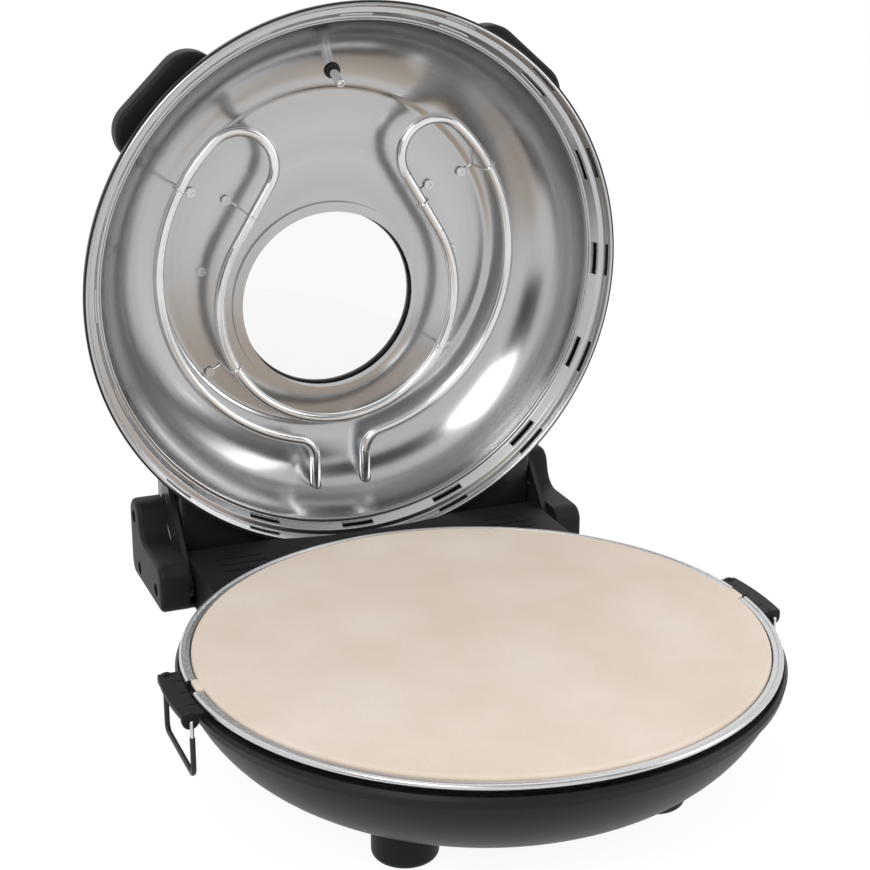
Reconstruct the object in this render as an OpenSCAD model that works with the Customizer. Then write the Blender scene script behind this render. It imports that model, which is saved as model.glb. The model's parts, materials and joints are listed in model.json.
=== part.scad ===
// Countertop stone oven for flat breads: a bowl with a heated stone, and a domed,
// windowed lid with a second heater, hinged at the back.
// X runs to the right, Y to the back where the hinge is, Z up from the table.
// The lid is drawn closed in its modules and swung open by lid_pose().

/* [Stone] */
// Diameter of the baking stone
stone_d = 303.4; // [280:0.2:330]
// Thickness of the baking stone
stone_t = 12; // [8:0.5:16]
// Height of the stone above the steel ring
stone_proud = 4; // [2:0.5:6]
// Width of the two lifting lugs on the stone
lug_w = 12.5; // [8:0.5:20]
// Radial gap between the stone and its pocket
stone_gap = 0.9; // [0.5:0.1:2]

/* [Bowl] */
// Height of the bowl's flat bottom above the table
foot_h = 14; // [10:1:24]
// Depth of the bowl below the top of the steel ring
bowl_depth = 62; // [56:1:72]
// Radius of the round flank of the bowl
flank_r = 76; // [66:1:84]
// Sheet thickness of the bowl
bowl_t = 1.2; // [0.8:0.1:2]
// Width of the flat steel ring with its bead
ring_w = 5.4; // [4.5:0.1:9]
// Height of the light band round the bowl's rim
band_h = 7; // [5:0.5:9]
// Sheet thickness of the stone's pan
pan_t = 0.8; // [0.5:0.1:1.2]
// Depth of the pan's floor below the steel ring
pan_depth = 33; // [30:1:36]

/* [Feet] */
// Diameter of a foot
foot_d = 34; // [24:1:40]
// Sideways distance of the feet from the middle
foot_x = 69; // [60:1:74]
// Distance of the front feet from the middle
foot_front = 68; // [60:1:74]
// Distance of the rear feet from the middle
foot_rear = 92; // [80:1:96]

/* [Lid] */
// Angle by which the lid stands open
lid_open = 88; // [60:1:95]
// Gap between the lid's lip and the rim band
lip_gap = 1.9; // [1:0.1:3]
// Height of the lid's upright lip
lip_h = 13.2; // [11:0.1:18]
// Sheet thickness of the polished rim
rim_t = 0.8; // [0.5:0.1:1.2]
// Width of the polished flange inside the lip
flange_w = 10.2; // [7:0.1:14]
// Radius of the dome's round shoulder
dome_r = 52.5; // [46:0.5:58]
// Sheet thickness of the dome
dome_t = 0.7; // [0.5:0.1:1.2]
// Thickness of the outer shell
shell_t = 0.9; // [0.7:0.1:2]
// Number of vent slots round the lip
vents = 16; // [8:1:24]
// Length of a vent slot
vent_l = 19.5; // [10:0.5:24]
// Height of a vent slot
vent_h = 3.6; // [2:0.1:5]

/* [Window] */
// Radius of the clear opening
window_r = 56; // [40:1:60]
// Distance of the window's centre behind the lid's centre
window_y = 26; // [10:1:30]
// Thickness of the glass
glass_t = 4; // [3:0.5:5]

/* [Heaters] */
// Diameter of the heater tubes
tube_d = 6.5; // [5:0.1:8]
// Radius of the upper heater's outer loop
loop_r = 111.5; // [108:0.5:114]
// Radius of the two lobes at the front of the upper heater
lobe_r = 22; // [20:0.5:24]
// Angle of the lobes from the front, seen from the lid's centre
lobe_a = 43.5; // [42:0.5:45]
// Radius of the upper heater's bend round the window
bend_r = 75.4; // [74:0.2:78]
// Distance of that bend's centre behind the lid's centre
bend_y = 21.5; // [20:0.5:24]
// Depth of the upper heater below the dome's flat top
loop_drop = 19; // [15:0.5:24]
// Radius of the lower heater
ring_loop_r = 100; // [90:1:108]
// Height of the lower heater above the pan's floor
loop_rise = 14; // [10:0.5:16]
// Length of the probe in the dome
probe_l = 17.5; // [10:0.5:25]

/* [Hinge] */
// Distance of the hinge axis behind the middle
hinge_y = 166.5; // [166:0.5:172]
// Depth of the hinge axis below the steel ring
hinge_drop = 18.5; // [17:0.5:20]
// Diameter of the hinge pins
pin_d = 8; // [6:0.5:9]
// Radial play of a pin in its arm
pin_play = 0.05; // [0.02:0.01:0.1]
// Half the width of the housing between the arms
housing_x = 113; // [108:0.5:118]
// Thickness of a lid arm
arm_t = 2.8; // [2:0.1:4]
// Width of a hinge cover
cover_w = 17; // [14:0.5:22]
// Length of a hinge cover from toe to heel
cover_l = 73; // [70:1:80]

/* [Side fittings] */
// Length of a side bracket
bracket_l = 49; // [40:1:60]
// Reach of a side bracket beyond the rim band
bracket_w = 9.5; // [8:0.5:14]
// Diameter of the bail's wire
wire_d = 2; // [1.6:0.1:2.4]
// Diameter of the sleeve on the bail
sleeve_d = 2.8; // [2.6:0.1:3.6]
// Length of the bail below its pivots
bail_l = 29; // [22:1:34]

/* [Hidden] */
$fn = 96;

// Seat of two pieces of one body, and gap between pieces that move past each other
seat = 0.05;
gap = 0.3;
big = 400;

// Radii outwards from the stone
stone_r = stone_d / 2;
pocket_r = stone_r + stone_gap;
bead_r = 1.6;
ring_r = pocket_r + ring_w;
rim_gap = 0.3;
rim_top_w = 0.7;
rim_r = ring_r + rim_gap + 2;
lip_r = rim_r + lip_gap;
lip_out_r = lip_r + rim_t;
shell_r = lip_out_r + gap + shell_t;

// Heights above the table
ring_z = foot_h + bowl_depth;
stone_top = ring_z + stone_proud;
stone_z = stone_top - stone_t;
ledge_z = stone_z - pan_t;
rim_z = ring_z - 4.6;
band_z = rim_z - band_h;
pan_z = ring_z - pan_depth;
pan_low = pan_z - pan_t;

// Bowl flank: an arc that meets the flat bottom and the wall under the band
wall_r = rim_r - 3;
flank_z = foot_h + flank_r;
flank_c = wall_r - sqrt(flank_r * flank_r - pow(flank_z - band_z, 2));
pan_wall_r = stone_r - 5;
pan_floor_r = pan_wall_r - 9.5;

// Screws: clearance, shank and head radii
shank_r = 1.9;
screw_play = 0.15;
head_r = 3.4;
head_h = 2.2;

// Feet
foot_r = foot_d / 2;
foot_edge = 4;
foot_counter = 9;
foot_places = [[-foot_x, -foot_front], [foot_x, -foot_front],
    [-foot_x, foot_rear], [foot_x, foot_rear]];

// Pan standoffs
post_r = 5;
post_ring = 60;
post_angles = [30, 150, 270];

// Lid, in its closed place
hinge_z = ring_z - hinge_drop;
bracket_z = ring_z - 2.2;
lip_z = bracket_z + 0.8;
flange_z = lip_z + lip_h;
flange_r = lip_r - flange_w;
shoulder_c = flange_r + 0.5 - dome_r;
shoulder_z = flange_z - 5;
step_h = 1.2;
step_r = shoulder_c + 5;
dome_top = shoulder_z + dome_r + step_h;
shell_in = shell_r - shell_t - shoulder_c;
shell_arc = shell_r - shoulder_c;
shell_top = shoulder_z + shell_arc;
shell_low = lip_z + 2.4;

// Window stack, from the dome up
frame_w = 6;
frame_t = 0.9;
frame_drop = 2;
frame_z = dome_top - frame_drop;
bezel_t = 2;
bezel_r = window_r + 8;
glass_r = window_r + 4;
glass_z = shell_top - shell_t - gap - glass_t;
gasket_t = 1.4;
gasket_z = glass_z - gasket_t;

// Heaters
tube_r = tube_d / 2;
joint_cut = 0.1;
joint_bead = 0.03;
loop_z = dome_top - loop_drop;
lobe_c = (loop_r - lobe_r) * [sin(lobe_a), -cos(lobe_a)];
tail_x = 16.5;
tail_bend = 13;
tail_y = sqrt(pow(loop_r + tail_bend, 2) - pow(tail_x + tail_bend, 2));
tail_end = sqrt(pow(shell_in, 2) - pow(loop_z - shoulder_z, 2)) + shoulder_c - 6;
tail_wall = sqrt(pow(dome_r, 2) - pow(loop_z - shoulder_z, 2)) + shoulder_c;
lower_z = pan_z + loop_rise;
lower_half = 14;
lower_bend = 9;
lower_end_z = pan_low - 12;
bush_r = tube_r + 1.8;

// Clips that hold the heater tubes
clip_t = 0.8;
clip_w = 2.4;
clip_in = tube_r + seat;
clip_out = clip_in + clip_t;
clip_lean = 8.2;
tab_l = 8.6;
tab_w = 7;
clip_screw = 12.8;
clip_head = 2.8;
lower_clip_angles = [200, 270, 340];

// Hinge
pin_r = pin_d / 2;
arm_in = housing_x + 1;
arm_out = arm_in + arm_t;
cover_in = arm_out + 0.8;
cover_out = cover_in + cover_w;
cover_t = 2.4;
cover_toe = hinge_y - 12.5;
cover_heel = cover_toe + cover_l;
cover_low = hinge_z - 11;
toe_top = ring_z - 1;
knob_r = 11;
knob_y = cover_heel - knob_r;
knob_z = ring_z + 9.5;
plate_t = 2.2;
plate_in = cover_in + 1.2;
plate_out = plate_in + plate_t;
leg_top = cover_low + 2;
leg_t = 2;
leg_w = 26;
leg_low = leg_top - leg_t;
eye_r = hinge_z - leg_top - 0.5;
arm_end = [hinge_y - 38.5, hinge_z + 41];
arm_end_r = 11;
deck_z = ring_z - 4;
sweep_low = sqrt(pow(hinge_y - lip_out_r, 2) + pow(lip_z - hinge_z, 2));
lid_box_low = lip_z + 5;
lid_box_back = hinge_y + 9.5;
barrel_r = lid_box_low - hinge_z - 0.8;
housing_t = 2.4;
floor_t = 2;
gland_x = -44;
gland_y = hinge_y - 4;
gland_r = 8;
gland_bore = 4;
cover_screw_low = [cover_heel - 20, cover_low + 9];
cover_screw_top = [knob_y, knob_z];

// Side brackets and bails
bracket_out = rim_r + bracket_w;
bracket_t = 2.6;
skirt_t = 1.6;
skirt_l = 28;
ear_t = 2.8;
ear_r = 4.4;
pivot_x = bracket_out - 6;
pivot_z = bracket_z - 3.6;
wire_r = wire_d / 2;
sleeve_r = sleeve_d / 2;
bail_y = bracket_l / 2 + sleeve_r + gap;
bail_bend = 4;
bare_l = 8;

// Lid handles
handle_a = 45;
handle_out = shell_r + 10.5;
handle_low = shell_low + 0.6;
handle_h = 17;
handle_t = 2.4;

// Middle of the open oven's footprint, from the bowl's front and the open lid's back
bezel_flat = window_y + bezel_r - 1.2 - hinge_y;
back_y = hinge_y + bezel_flat * cos(lid_open) + (shell_top + bezel_t - hinge_z) * sin(lid_open);
row_y = (rim_r - back_y) / 2;

// Geometry helpers
function unit(v) = v / norm(v);
function polar(r, a) = [r * cos(a), r * sin(a)];
function turned(v) = [-v.y, v.x];
function corner(a, b, c, r, n) =
    let (u = unit(a - b), v = unit(c - b), h = acos(u * v) / 2,
        m = b + unit(u + v) * r / sin(h), s = b + u * r / tan(h) - m,
        e = b + v * r / tan(h) - m, a0 = atan2(s.y, s.x),
        da = (atan2(e.y, e.x) - a0 + 540) % 360 - 180)
    r == 0 ? [b] : [for (i = [0:n]) m + polar(r, a0 + da * i / n)];
function rounded(p, r, n = 6) =
    [for (i = [0:len(p) - 1])
        each corner(p[(i + len(p) - 1) % len(p)], p[i], p[(i + 1) % len(p)], r[i], n)];

module mirrored() {
    children();
    mirror([1, 0, 0]) children();
}

// Moves the drawing so that the origin is the middle of the open oven's footprint
module row() {
    translate([0, row_y, 0]) children();
}

module lid_pose() {
    translate([0, hinge_y, hinge_z]) rotate([-lid_open, 0, 0])
        translate([0, -hinge_y, -hinge_z]) children();
}

// A solid drawn in the YZ plane and given a thickness along X
module side_solid(x0, x1) {
    translate([x0, 0, 0]) rotate([90, 0, 90]) linear_extrude(x1 - x0) children();
}

// A strip between two round ends in the YZ plane, with its sides tangent to both
module link(a, ra, b, rb, x0, x1) {
    d = unit(b - a);
    s = (ra - rb) / norm(b - a);
    n = turned(d) * sqrt(1 - s * s);
    k = d * s;
    m = 0.998;
    side_solid(x0, x1) translate(a) circle(ra);
    side_solid(x0, x1) translate(b) circle(rb);
    side_solid(x0, x1) polygon([a + (k + n) * ra * m, b + (k + n) * rb * m,
        b + (k - n) * rb * m, a + (k - n) * ra * m]);
}

// A screw with its head at the origin and its shank along +Z
module screw(length, r = shank_r, head = head_r, height = head_h) {
    difference() {
        translate([0, 0, -height]) cylinder(r = head, h = height);
        translate([0, 0, -height - 0.01]) cylinder(r = 0.6 * r, h = 0.8);
        translate([-0.7 * head, -0.4, -height - 0.01]) cube([1.4 * head, 0.8, 0.7]);
        translate([-0.4, -0.7 * head, -height - 0.01]) cube([0.8, 1.4 * head, 0.7]);
    }
    cylinder(r = r, h = length);
}

// Arcs and straight runs of a bent tube, each a little short, and the joints that close them
module tube_arc(c, r, a0, a1, tr) {
    cut = joint_cut / r * 180 / PI;
    translate([c.x, c.y, 0]) rotate([0, 0, min(a0, a1) + cut])
        rotate_extrude(angle = abs(a1 - a0) - 2 * cut) translate([r, 0]) circle(tr, $fn = 32);
}
module tube_run(a, b, tr) {
    d = b - a;
    translate([a.x, a.y, 0]) rotate([0, 0, atan2(d.y, d.x)]) rotate([0, 90, 0])
        translate([0, 0, joint_cut]) cylinder(r = tr, h = norm(d) - 2 * joint_cut, $fn = 32);
}
module tube_joint(p, tr) {
    translate([p.x, p.y, 0]) sphere(tr + joint_bead, $fn = 32);
}

// A clip round a tube that runs along X: a ring, a slanting leg and a tab on a plane h below
module clip(h) {
    difference() {
        union() {
            rotate([0, 90, 0]) cylinder(r = clip_out, h = clip_w, center = true);
            side_solid(-clip_w / 2, clip_w / 2) polygon([[clip_in, -1], [clip_out, -1],
                [clip_lean + clip_t, clip_t - h], [clip_lean + clip_t, -h], [clip_lean, -h]]);
            translate([-tab_w / 2, clip_lean, -h]) cube([tab_w, tab_l, clip_t]);
        }
        rotate([0, 90, 0]) cylinder(r = clip_in, h = clip_w + 1, center = true);
        translate([0, clip_screw, -h - 1]) cylinder(r = shank_r + screw_play, h = 3);
    }
}

// Base

// Filled outline of the bowl below its band, shrunk by d
module bowl_fill(d, top) {
    intersection() {
        union() {
            translate([0, foot_h + d]) square([flank_c, big]);
            translate([flank_c, flank_z]) circle(flank_r - d);
        }
        translate([0, foot_h]) square([big, top - foot_h]);
    }
}

// Solid that fills the bowl, band included, grown by d, to cut what fits round it
module bowl_body(d) {
    rotate_extrude() {
        bowl_fill(-d, band_z + 0.6);
        translate([0, band_z - 0.4]) square([rim_r + d, rim_z + 0.4 - band_z]);
    }
}

module base_bowl() {
    color([0.06, 0.06, 0.065]) row() difference() {
        rotate_extrude() {
            difference() {
                bowl_fill(0, band_z + 0.1);
                bowl_fill(bowl_t, band_z + 1);
            }
            polygon([[wall_r - bowl_t, band_z], [wall_r, band_z], [rim_r - 0.9, band_z + 0.8],
                [rim_r, rim_z - 2], [rim_r - 1.3, rim_z], [ring_r + rim_gap, rim_z],
                [ring_r + rim_gap, ledge_z], [pan_wall_r + 1.3, ledge_z],
                [pan_wall_r + 1.3, ledge_z - bowl_t], [wall_r - bowl_t, ledge_z - bowl_t]]);
        }
        for (p = foot_places) translate([p.x, p.y, 0]) cylinder(r = shank_r + screw_play, h = 40);
        for (a = post_angles) translate(polar(post_ring, a)) cylinder(r = shank_r + screw_play, h = 30);
        for (s = [-1, 1]) bracket_axes(s) cylinder(r = shank_r + screw_play, h = 8);
        translate([gland_x, gland_y - 60, deck_z - 16]) rotate([-90, 0, 0]) cylinder(r = 6, h = 60);
    }
}

module inner_pan() {
    color([0.78, 0.78, 0.79]) row() difference() {
        rotate_extrude() {
            translate([pocket_r, ring_z - pan_t]) square([ring_w - bead_r, pan_t]);
            translate([pocket_r, stone_z - pan_t]) square([pan_t, ring_z - stone_z + pan_t]);
            translate([ring_r - bead_r, ring_z - bead_r + 0.7]) circle(bead_r);
            translate([pan_wall_r, ledge_z]) square([pocket_r + pan_t - pan_wall_r, pan_t]);
            polygon([[pan_wall_r, stone_z], [pan_floor_r, pan_z], [0, pan_z], [0, pan_low],
                [pan_floor_r + 0.6, pan_low], [pan_wall_r + 1, ledge_z + 0.01]]);
        }
        for (s = [-1, 1]) translate([s * (ring_r - 2), 0, ring_z])
            cube([2 * ring_w, lug_w + 1.4, 5], center = true);
        for (p = lower_tails()) translate([p.x, p.y, pan_z - 2])
            cylinder(r = bush_r + seat, h = 4);
        for (a = post_angles) translate(concat(polar(post_ring, a), [pan_z - 2]))
            cylinder(r = shank_r + screw_play, h = 4);
    }
}

module pizza_stone() {
    color([0.80, 0.68, 0.56]) row() difference() {
        union() {
            translate([0, 0, stone_z]) rotate_extrude() polygon([[0, 0], [stone_r - 1, 0],
                [stone_r, 1], [stone_r, stone_t - 1.2], [stone_r - 1.2, stone_t], [0, stone_t]]);
            for (s = [-1, 1]) intersection() {
                translate([s * stone_r, 0, ring_z + 1]) cube([12, lug_w, 4], center = true);
                translate([0, 0, ring_z - 5]) cylinder(r = ring_r - 1.2, h = 10);
            }
        }
    }
}

function lower_end(s) = polar(ring_loop_r, 90 - s * lower_half);
function lower_tails() = [for (s = [-1, 1])
    lower_end(s) + lower_bend * [-s * cos(lower_half), sin(lower_half)]];

module lower_element() {
    color([0.35, 0.34, 0.33]) row() {
        translate([0, 0, lower_z])
            tube_arc([0, 0], ring_loop_r, 90 + lower_half, 450 - lower_half, tube_r);
        for (s = [-1, 1]) translate([lower_end(s).x, lower_end(s).y, lower_z]) {
            sphere(tube_r + joint_bead, $fn = 32);
            translate([0, 0, -lower_bend]) rotate([0, 0, 90 + s * (90 - lower_half)])
                rotate([90, 0, 0]) tube_arc([0, 0], lower_bend, 0, 90, tube_r);
        }
        for (p = lower_tails()) translate([p.x, p.y, lower_end_z]) {
            cylinder(r = tube_r, h = lower_z - lower_bend - lower_end_z - joint_cut, $fn = 32);
            translate([0, 0, lower_z - lower_bend - lower_end_z])
                sphere(tube_r + joint_bead, $fn = 32);
            translate([-3, -0.4, -8]) cube([6, 0.8, 8.5]);
        }
    }
}

module lower_element_clips() {
    color([0.7, 0.7, 0.72]) row() for (a = lower_clip_angles) rotate([0, 0, a])
        translate([ring_loop_r, 0, lower_z]) rotate([0, 0, 90]) clip(loop_rise);
}

module lower_element_bushings() {
    color([0.9, 0.88, 0.84]) row() for (p = lower_tails()) translate([p.x, p.y, pan_z]) difference() {
        union() {
            translate([0, 0, -6]) cylinder(r = bush_r, h = 6.5);
            cylinder(r = bush_r + 2, h = 4);
        }
        translate([0, 0, -7]) cylinder(r = tube_r + seat, h = 12);
    }
}

module pan_standoffs() {
    color([0.7, 0.7, 0.72]) row() for (a = post_angles)
        translate(concat(polar(post_ring, a), [foot_h + bowl_t])) difference() {
            cylinder(r = post_r, h = pan_low - foot_h - bowl_t);
            translate([0, 0, -1]) cylinder(r = shank_r + seat, h = 11);
            translate([0, 0, pan_low - foot_h - bowl_t - 9]) cylinder(r = shank_r + seat, h = 10);
        }
}

// Screws of the base: through the bottom into the posts, down through the pan, and clip screws
module base_screws() {
    color([0.75, 0.75, 0.77]) row() {
        for (a = post_angles) {
            translate(concat(polar(post_ring, a), [foot_h])) screw(9);
            translate(concat(polar(post_ring, a), [pan_z])) mirror([0, 0, 1]) screw(8);
        }
        for (a = lower_clip_angles) rotate([0, 0, a])
            translate([ring_loop_r - clip_screw, 0, pan_z + clip_t]) mirror([0, 0, 1])
                screw(clip_t, shank_r, clip_head, 1.8);
    }
}

module base_thermostat() {
    color([0.25, 0.25, 0.27]) row() translate([35, -15, pan_low]) {
        translate([0, 0, -7]) cylinder(r = 9, h = 7);
        translate([-14, -5, -1]) cube([28, 10, 1]);
        for (s = [-1, 1]) translate([s * 5 - 0.4, -3, -14]) cube([0.8, 6, 7.5]);
    }
}

module thermal_fuse() {
    color([0.85, 0.83, 0.8]) row() translate([-32, -20, pan_low]) {
        translate([-13, 0, -4]) rotate([0, 90, 0]) cylinder(r = 4, h = 26);
        translate([-4, -4.5, -4]) cube([8, 9, 4]);
    }
}

module terminal_block() {
    color([0.9, 0.88, 0.82]) row() translate([0, 66, foot_h + bowl_t]) difference() {
        translate([-22, -8, 0]) cube([44, 16, 13]);
        for (i = [-1:1]) translate([i * 13, 0, 5]) cylinder(r = 3, h = 9);
        for (i = [-1:1]) translate([i * 13, -9, 6]) rotate([-90, 0, 0]) cylinder(r = 2, h = 18);
    }
}

module foot(p) {
    color([0.07, 0.07, 0.075]) row() difference() {
        translate([p.x, p.y, 0]) difference() {
            rotate_extrude() {
                translate([0, foot_edge]) square([foot_r, 40]);
                square([foot_r - foot_edge, 10]);
                translate([foot_r - foot_edge, foot_edge]) circle(foot_edge);
            }
            translate([0, 0, -1]) cylinder(r = head_r + 1.4, h = foot_counter + 1);
            cylinder(r = shank_r + screw_play, h = 60);
        }
        bowl_body(seat);
        translate([0, 0, band_z - 20]) cylinder(r = big, h = 100);
    }
}
module foot_front_left() { foot(foot_places[0]); }
module foot_front_right() { foot(foot_places[1]); }
module foot_rear_left() { foot(foot_places[2]); }
module foot_rear_right() { foot(foot_places[3]); }

module foot_screws() {
    color([0.75, 0.75, 0.77]) row() for (p = foot_places)
        translate([p.x, p.y, foot_counter]) screw(15, shank_r, head_r + 0.8, 2.6);
}

// Axes of the two screws that hold a side bracket, pointing inwards
module bracket_axes(side) {
    for (y = [-8, 8]) translate([side * (rim_r + skirt_t + 0.2), y, (band_z + rim_z) / 2])
        rotate([0, -90 * side, 0]) children();
}

module side_bracket(side) {
    color([0.09, 0.09, 0.095]) row() mirror([side < 0 ? 1 : 0, 0, 0]) difference() {
        union() {
            intersection() {
                rotate_extrude() polygon([[ring_r + gap, rim_z + 0.2], [ring_r + gap, bracket_z],
                    [bracket_out, bracket_z], [bracket_out, bracket_z - bracket_t],
                    [rim_r + 0.2, bracket_z - bracket_t], [rim_r + 0.2, rim_z + 0.2]]);
                translate([ring_r / 2, -bracket_l / 2, 0]) cube([ring_r, bracket_l, big]);
            }
            intersection() {
                rotate_extrude() translate([rim_r + 0.2, band_z])
                    square([skirt_t, bracket_z - band_z - 1]);
                translate([ring_r / 2, -skirt_l / 2, 0]) cube([ring_r, skirt_l, big]);
            }
            for (s = [-1, 1]) translate([pivot_x, s * (bracket_l - ear_t) / 2, pivot_z])
                rotate([90, 0, 0]) translate([0, 0, -ear_t / 2]) linear_extrude(ear_t) {
                    circle(ear_r);
                    translate([-ear_r, 0]) square([2 * ear_r, bracket_z - 1 - pivot_z]);
                }
        }
        translate([pivot_x, 0, pivot_z]) rotate([90, 0, 0])
            cylinder(r = wire_r + 0.08, h = bracket_l + 2, center = true);
        bracket_axes(1) translate([0, 0, -5]) cylinder(r = shank_r + screw_play, h = 12);
        for (y = [-14, 0, 14]) translate([ring_r + gap - 1, y - 0.4, bracket_z - 0.8])
            cube([6, 0.8, 2]);
    }
}
module left_side_bracket() { side_bracket(-1); }
module right_side_bracket() { side_bracket(1); }

module bracket_screws() {
    color([0.2, 0.2, 0.21]) row() for (s = [-1, 1]) bracket_axes(s) screw(8, shank_r, 3, 1.6);
}

// Rear housing between the hinge covers, rounded at the back to clear the swinging lid
module rear_housing() {
    color([0.08, 0.08, 0.085]) row() difference() {
        intersection() {
            side_solid(-housing_x, housing_x) {
                translate([0, leg_top + seat]) square([hinge_y, deck_z - leg_top - seat]);
                intersection() {
                    translate([hinge_y, hinge_z]) circle(barrel_r);
                    translate([hinge_y - 1, leg_top + seat])
                        square([big, deck_z - leg_top - seat]);
                }
            }
        }
        bowl_body(seat);
        translate([0, 0, rim_z - 0.6]) cylinder(r = rim_r + 0.6, h = 20);
        lip_sweep(0.8);
        difference() {
            side_solid(housing_t - housing_x, housing_x - housing_t) {
                translate([0, leg_top - 1]) square([hinge_y, deck_z - housing_t - leg_top + 1]);
                intersection() {
                    translate([hinge_y, hinge_z]) circle(sweep_low - 0.8 - housing_t);
                    translate([hinge_y - 1, leg_top - 1])
                        square([big, deck_z - housing_t - leg_top + 1]);
                }
            }
            bowl_body(housing_t);
            for (s = [-1, 1]) translate([s * 70, hinge_y, 0]) cylinder(r = 4, h = big);
        }
        for (s = [-1, 1]) translate([s * 70, hinge_y, leg_top - 1]) cylinder(r = shank_r, h = 12);
        translate([gland_x, gland_y - 60, deck_z - 16]) rotate([-90, 0, 0]) cylinder(r = 6, h = 55);
        mirrored() hinge_line(housing_x - 12, housing_x + 1, pin_r + seat);
        for (s = [-1, 1], i = [0:2]) translate([s * 85, deck_rib_y(i), deck_z - 0.5])
            cube([28, 1.4, 2], center = true);
    }
    color([0.08, 0.08, 0.085]) row() mirrored() difference() {
        hinge_line(housing_x - 12, housing_x - housing_t, pin_r + 3);
        hinge_line(housing_x - 13, housing_x, pin_r + seat);
    }
}
function deck_rib_y(i) = hinge_y - 22 + 9 * i;

// A cylinder on the hinge axis from x0 to x1
module hinge_line(x0, x1, r) {
    translate([x0, hinge_y, hinge_z]) rotate([0, 90, 0]) cylinder(r = r, h = x1 - x0);
}

// Space that the rim of the lid sweeps behind the hinge axis, with a gap c
module lip_sweep(c) {
    half = 70;
    n = 20;
    xs = [for (i = [0:n]) -half + 2 * half * i / n];
    intersection() {
        translate([0, hinge_y, hinge_z]) rotate([0, 90, 0]) rotate_extrude()
            polygon(concat([for (x = xs) [sweep_radius(x) - c, x]], [[60, half], [60, -half]]));
        translate([-big / 2, hinge_y - 2, hinge_z + 1]) cube([big, big, big]);
    }
}
function sweep_radius(x) =
    norm([hinge_y - sqrt(lip_out_r * lip_out_r - x * x), lip_z - hinge_z]);

module housing_floor() {
    color([0.1, 0.1, 0.105]) row() difference() {
        translate([-housing_x, 60, leg_low - floor_t]) cube([2 * housing_x, hinge_y - 46, floor_t]);
        bowl_body(seat);
        for (s = [-1, 1]) translate([s * 70, hinge_y, 0]) cylinder(r = shank_r + screw_play, h = big);
        translate([gland_x, gland_y, 0]) cylinder(r = gland_r - 1.5 + seat, h = big);
        for (i = [-2:2]) translate([i * 12 - 2 + 10, gland_y - 4, 0]) cube([4, 16, big]);
    }
}

module housing_screws() {
    color([0.75, 0.75, 0.77]) row() for (s = [-1, 1])
        translate([s * 70, hinge_y, leg_low - floor_t]) screw(10);
}

module cord_gland() {
    color([0.05, 0.05, 0.05]) row() translate([gland_x, gland_y, leg_low - floor_t]) rotate_extrude()
        difference() {
            union() {
                translate([gland_bore, -5]) square([gland_r - gland_bore, 5]);
                translate([gland_bore, -1]) square([gland_r - 1.5 - gland_bore, floor_t + 2]);
                translate([gland_bore, floor_t]) square([gland_r - gland_bore, 2]);
            }
            translate([gland_r, -5]) circle(2);
        }
}

// Steel plate inside a hinge cover, with a leg that runs in under the rear housing
module hinge_bracket(side) {
    color([0.6, 0.6, 0.62]) row() mirror([side < 0 ? 1 : 0, 0, 0]) {
        difference() {
            union() {
                side_solid(plate_in, plate_out) cover_outline(cover_t + 0.2);
                translate([plate_in, cover_toe + 4, leg_low]) cube([plate_t, leg_w, 6]);
                difference() {
                    translate([housing_x - 28, cover_toe + 4, leg_low])
                        cube([plate_in - housing_x + 28.01, leg_w, leg_t]);
                    bowl_body(0.2);
                }
            }
            hinge_line(plate_in - 1, plate_out + 1, pin_r + seat);
            for (p = [cover_screw_low, cover_screw_top]) translate([plate_in - 1, p.x, p.y])
                rotate([0, 90, 0]) cylinder(r = shank_r, h = plate_t + 2);
        }
    }
}
module left_hinge_bracket() { hinge_bracket(-1); }
module right_hinge_bracket() { hinge_bracket(1); }

module cover_outline(d) {
    polygon(rounded([[cover_toe + d, cover_low + d], [cover_toe + d, toe_top - d],
        [knob_y - knob_r - 5 + d, toe_top - d], [knob_y - knob_r + d + 1, knob_z + knob_r - d],
        [cover_heel - d, knob_z + knob_r - d], [cover_heel - d, cover_low + d]],
        [3, 9 - d / 2, 13 + d / 2, 9.5 - d / 2, 10.5 - d, 9 - d / 2], 8));
}

module hinge_cover(side) {
    color([0.1, 0.1, 0.105]) row() mirror([side < 0 ? 1 : 0, 0, 0]) {
        difference() {
            side_solid(cover_in, cover_out) cover_outline(0);
            side_solid(cover_in - 1, cover_out - cover_t) cover_outline(cover_t);
            translate([cover_in - 1, cover_toe + 3.8, cover_low - 1])
                cube([plate_out - cover_in + 1.2, leg_w + 0.4, cover_t + 1.3]);
            for (p = [cover_screw_low, cover_screw_top]) {
                translate([cover_out - 4, p.x, p.y]) rotate([0, 90, 0])
                    cylinder(r = head_r + 0.5, h = 5);
                translate([plate_out, p.x, p.y]) rotate([0, 90, 0])
                    cylinder(r = shank_r + screw_play, h = 30);
            }
            hinge_line(plate_out, cover_out + 1, pin_r + seat);
        }
        for (p = [cover_screw_low, cover_screw_top]) difference() {
            translate([plate_out + seat, p.x, p.y]) rotate([0, 90, 0])
                cylinder(r = head_r + 1.6, h = cover_out - 0.01 - plate_out - seat);
            translate([plate_out, p.x, p.y]) rotate([0, 90, 0])
                cylinder(r = shank_r + screw_play, h = 30);
            translate([cover_out - 4, p.x, p.y]) rotate([0, 90, 0])
                cylinder(r = head_r + 0.5, h = 5);
        }
        difference() {
            hinge_line(plate_out + seat, cover_out - 1, pin_r + 2);
            hinge_line(plate_out, cover_out + 1, pin_r + seat);
        }
    }
}
module left_hinge_cover() { hinge_cover(-1); }
module right_hinge_cover() { hinge_cover(1); }

module hinge_cover_screws() {
    color([0.15, 0.15, 0.16]) row() mirrored() for (p = [cover_screw_low, cover_screw_top])
        translate([cover_out - 4, p.x, p.y]) rotate([0, -90, 0]) screw(cover_out - 4 - plate_in - 0.5, shank_r - seat);
}

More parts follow.
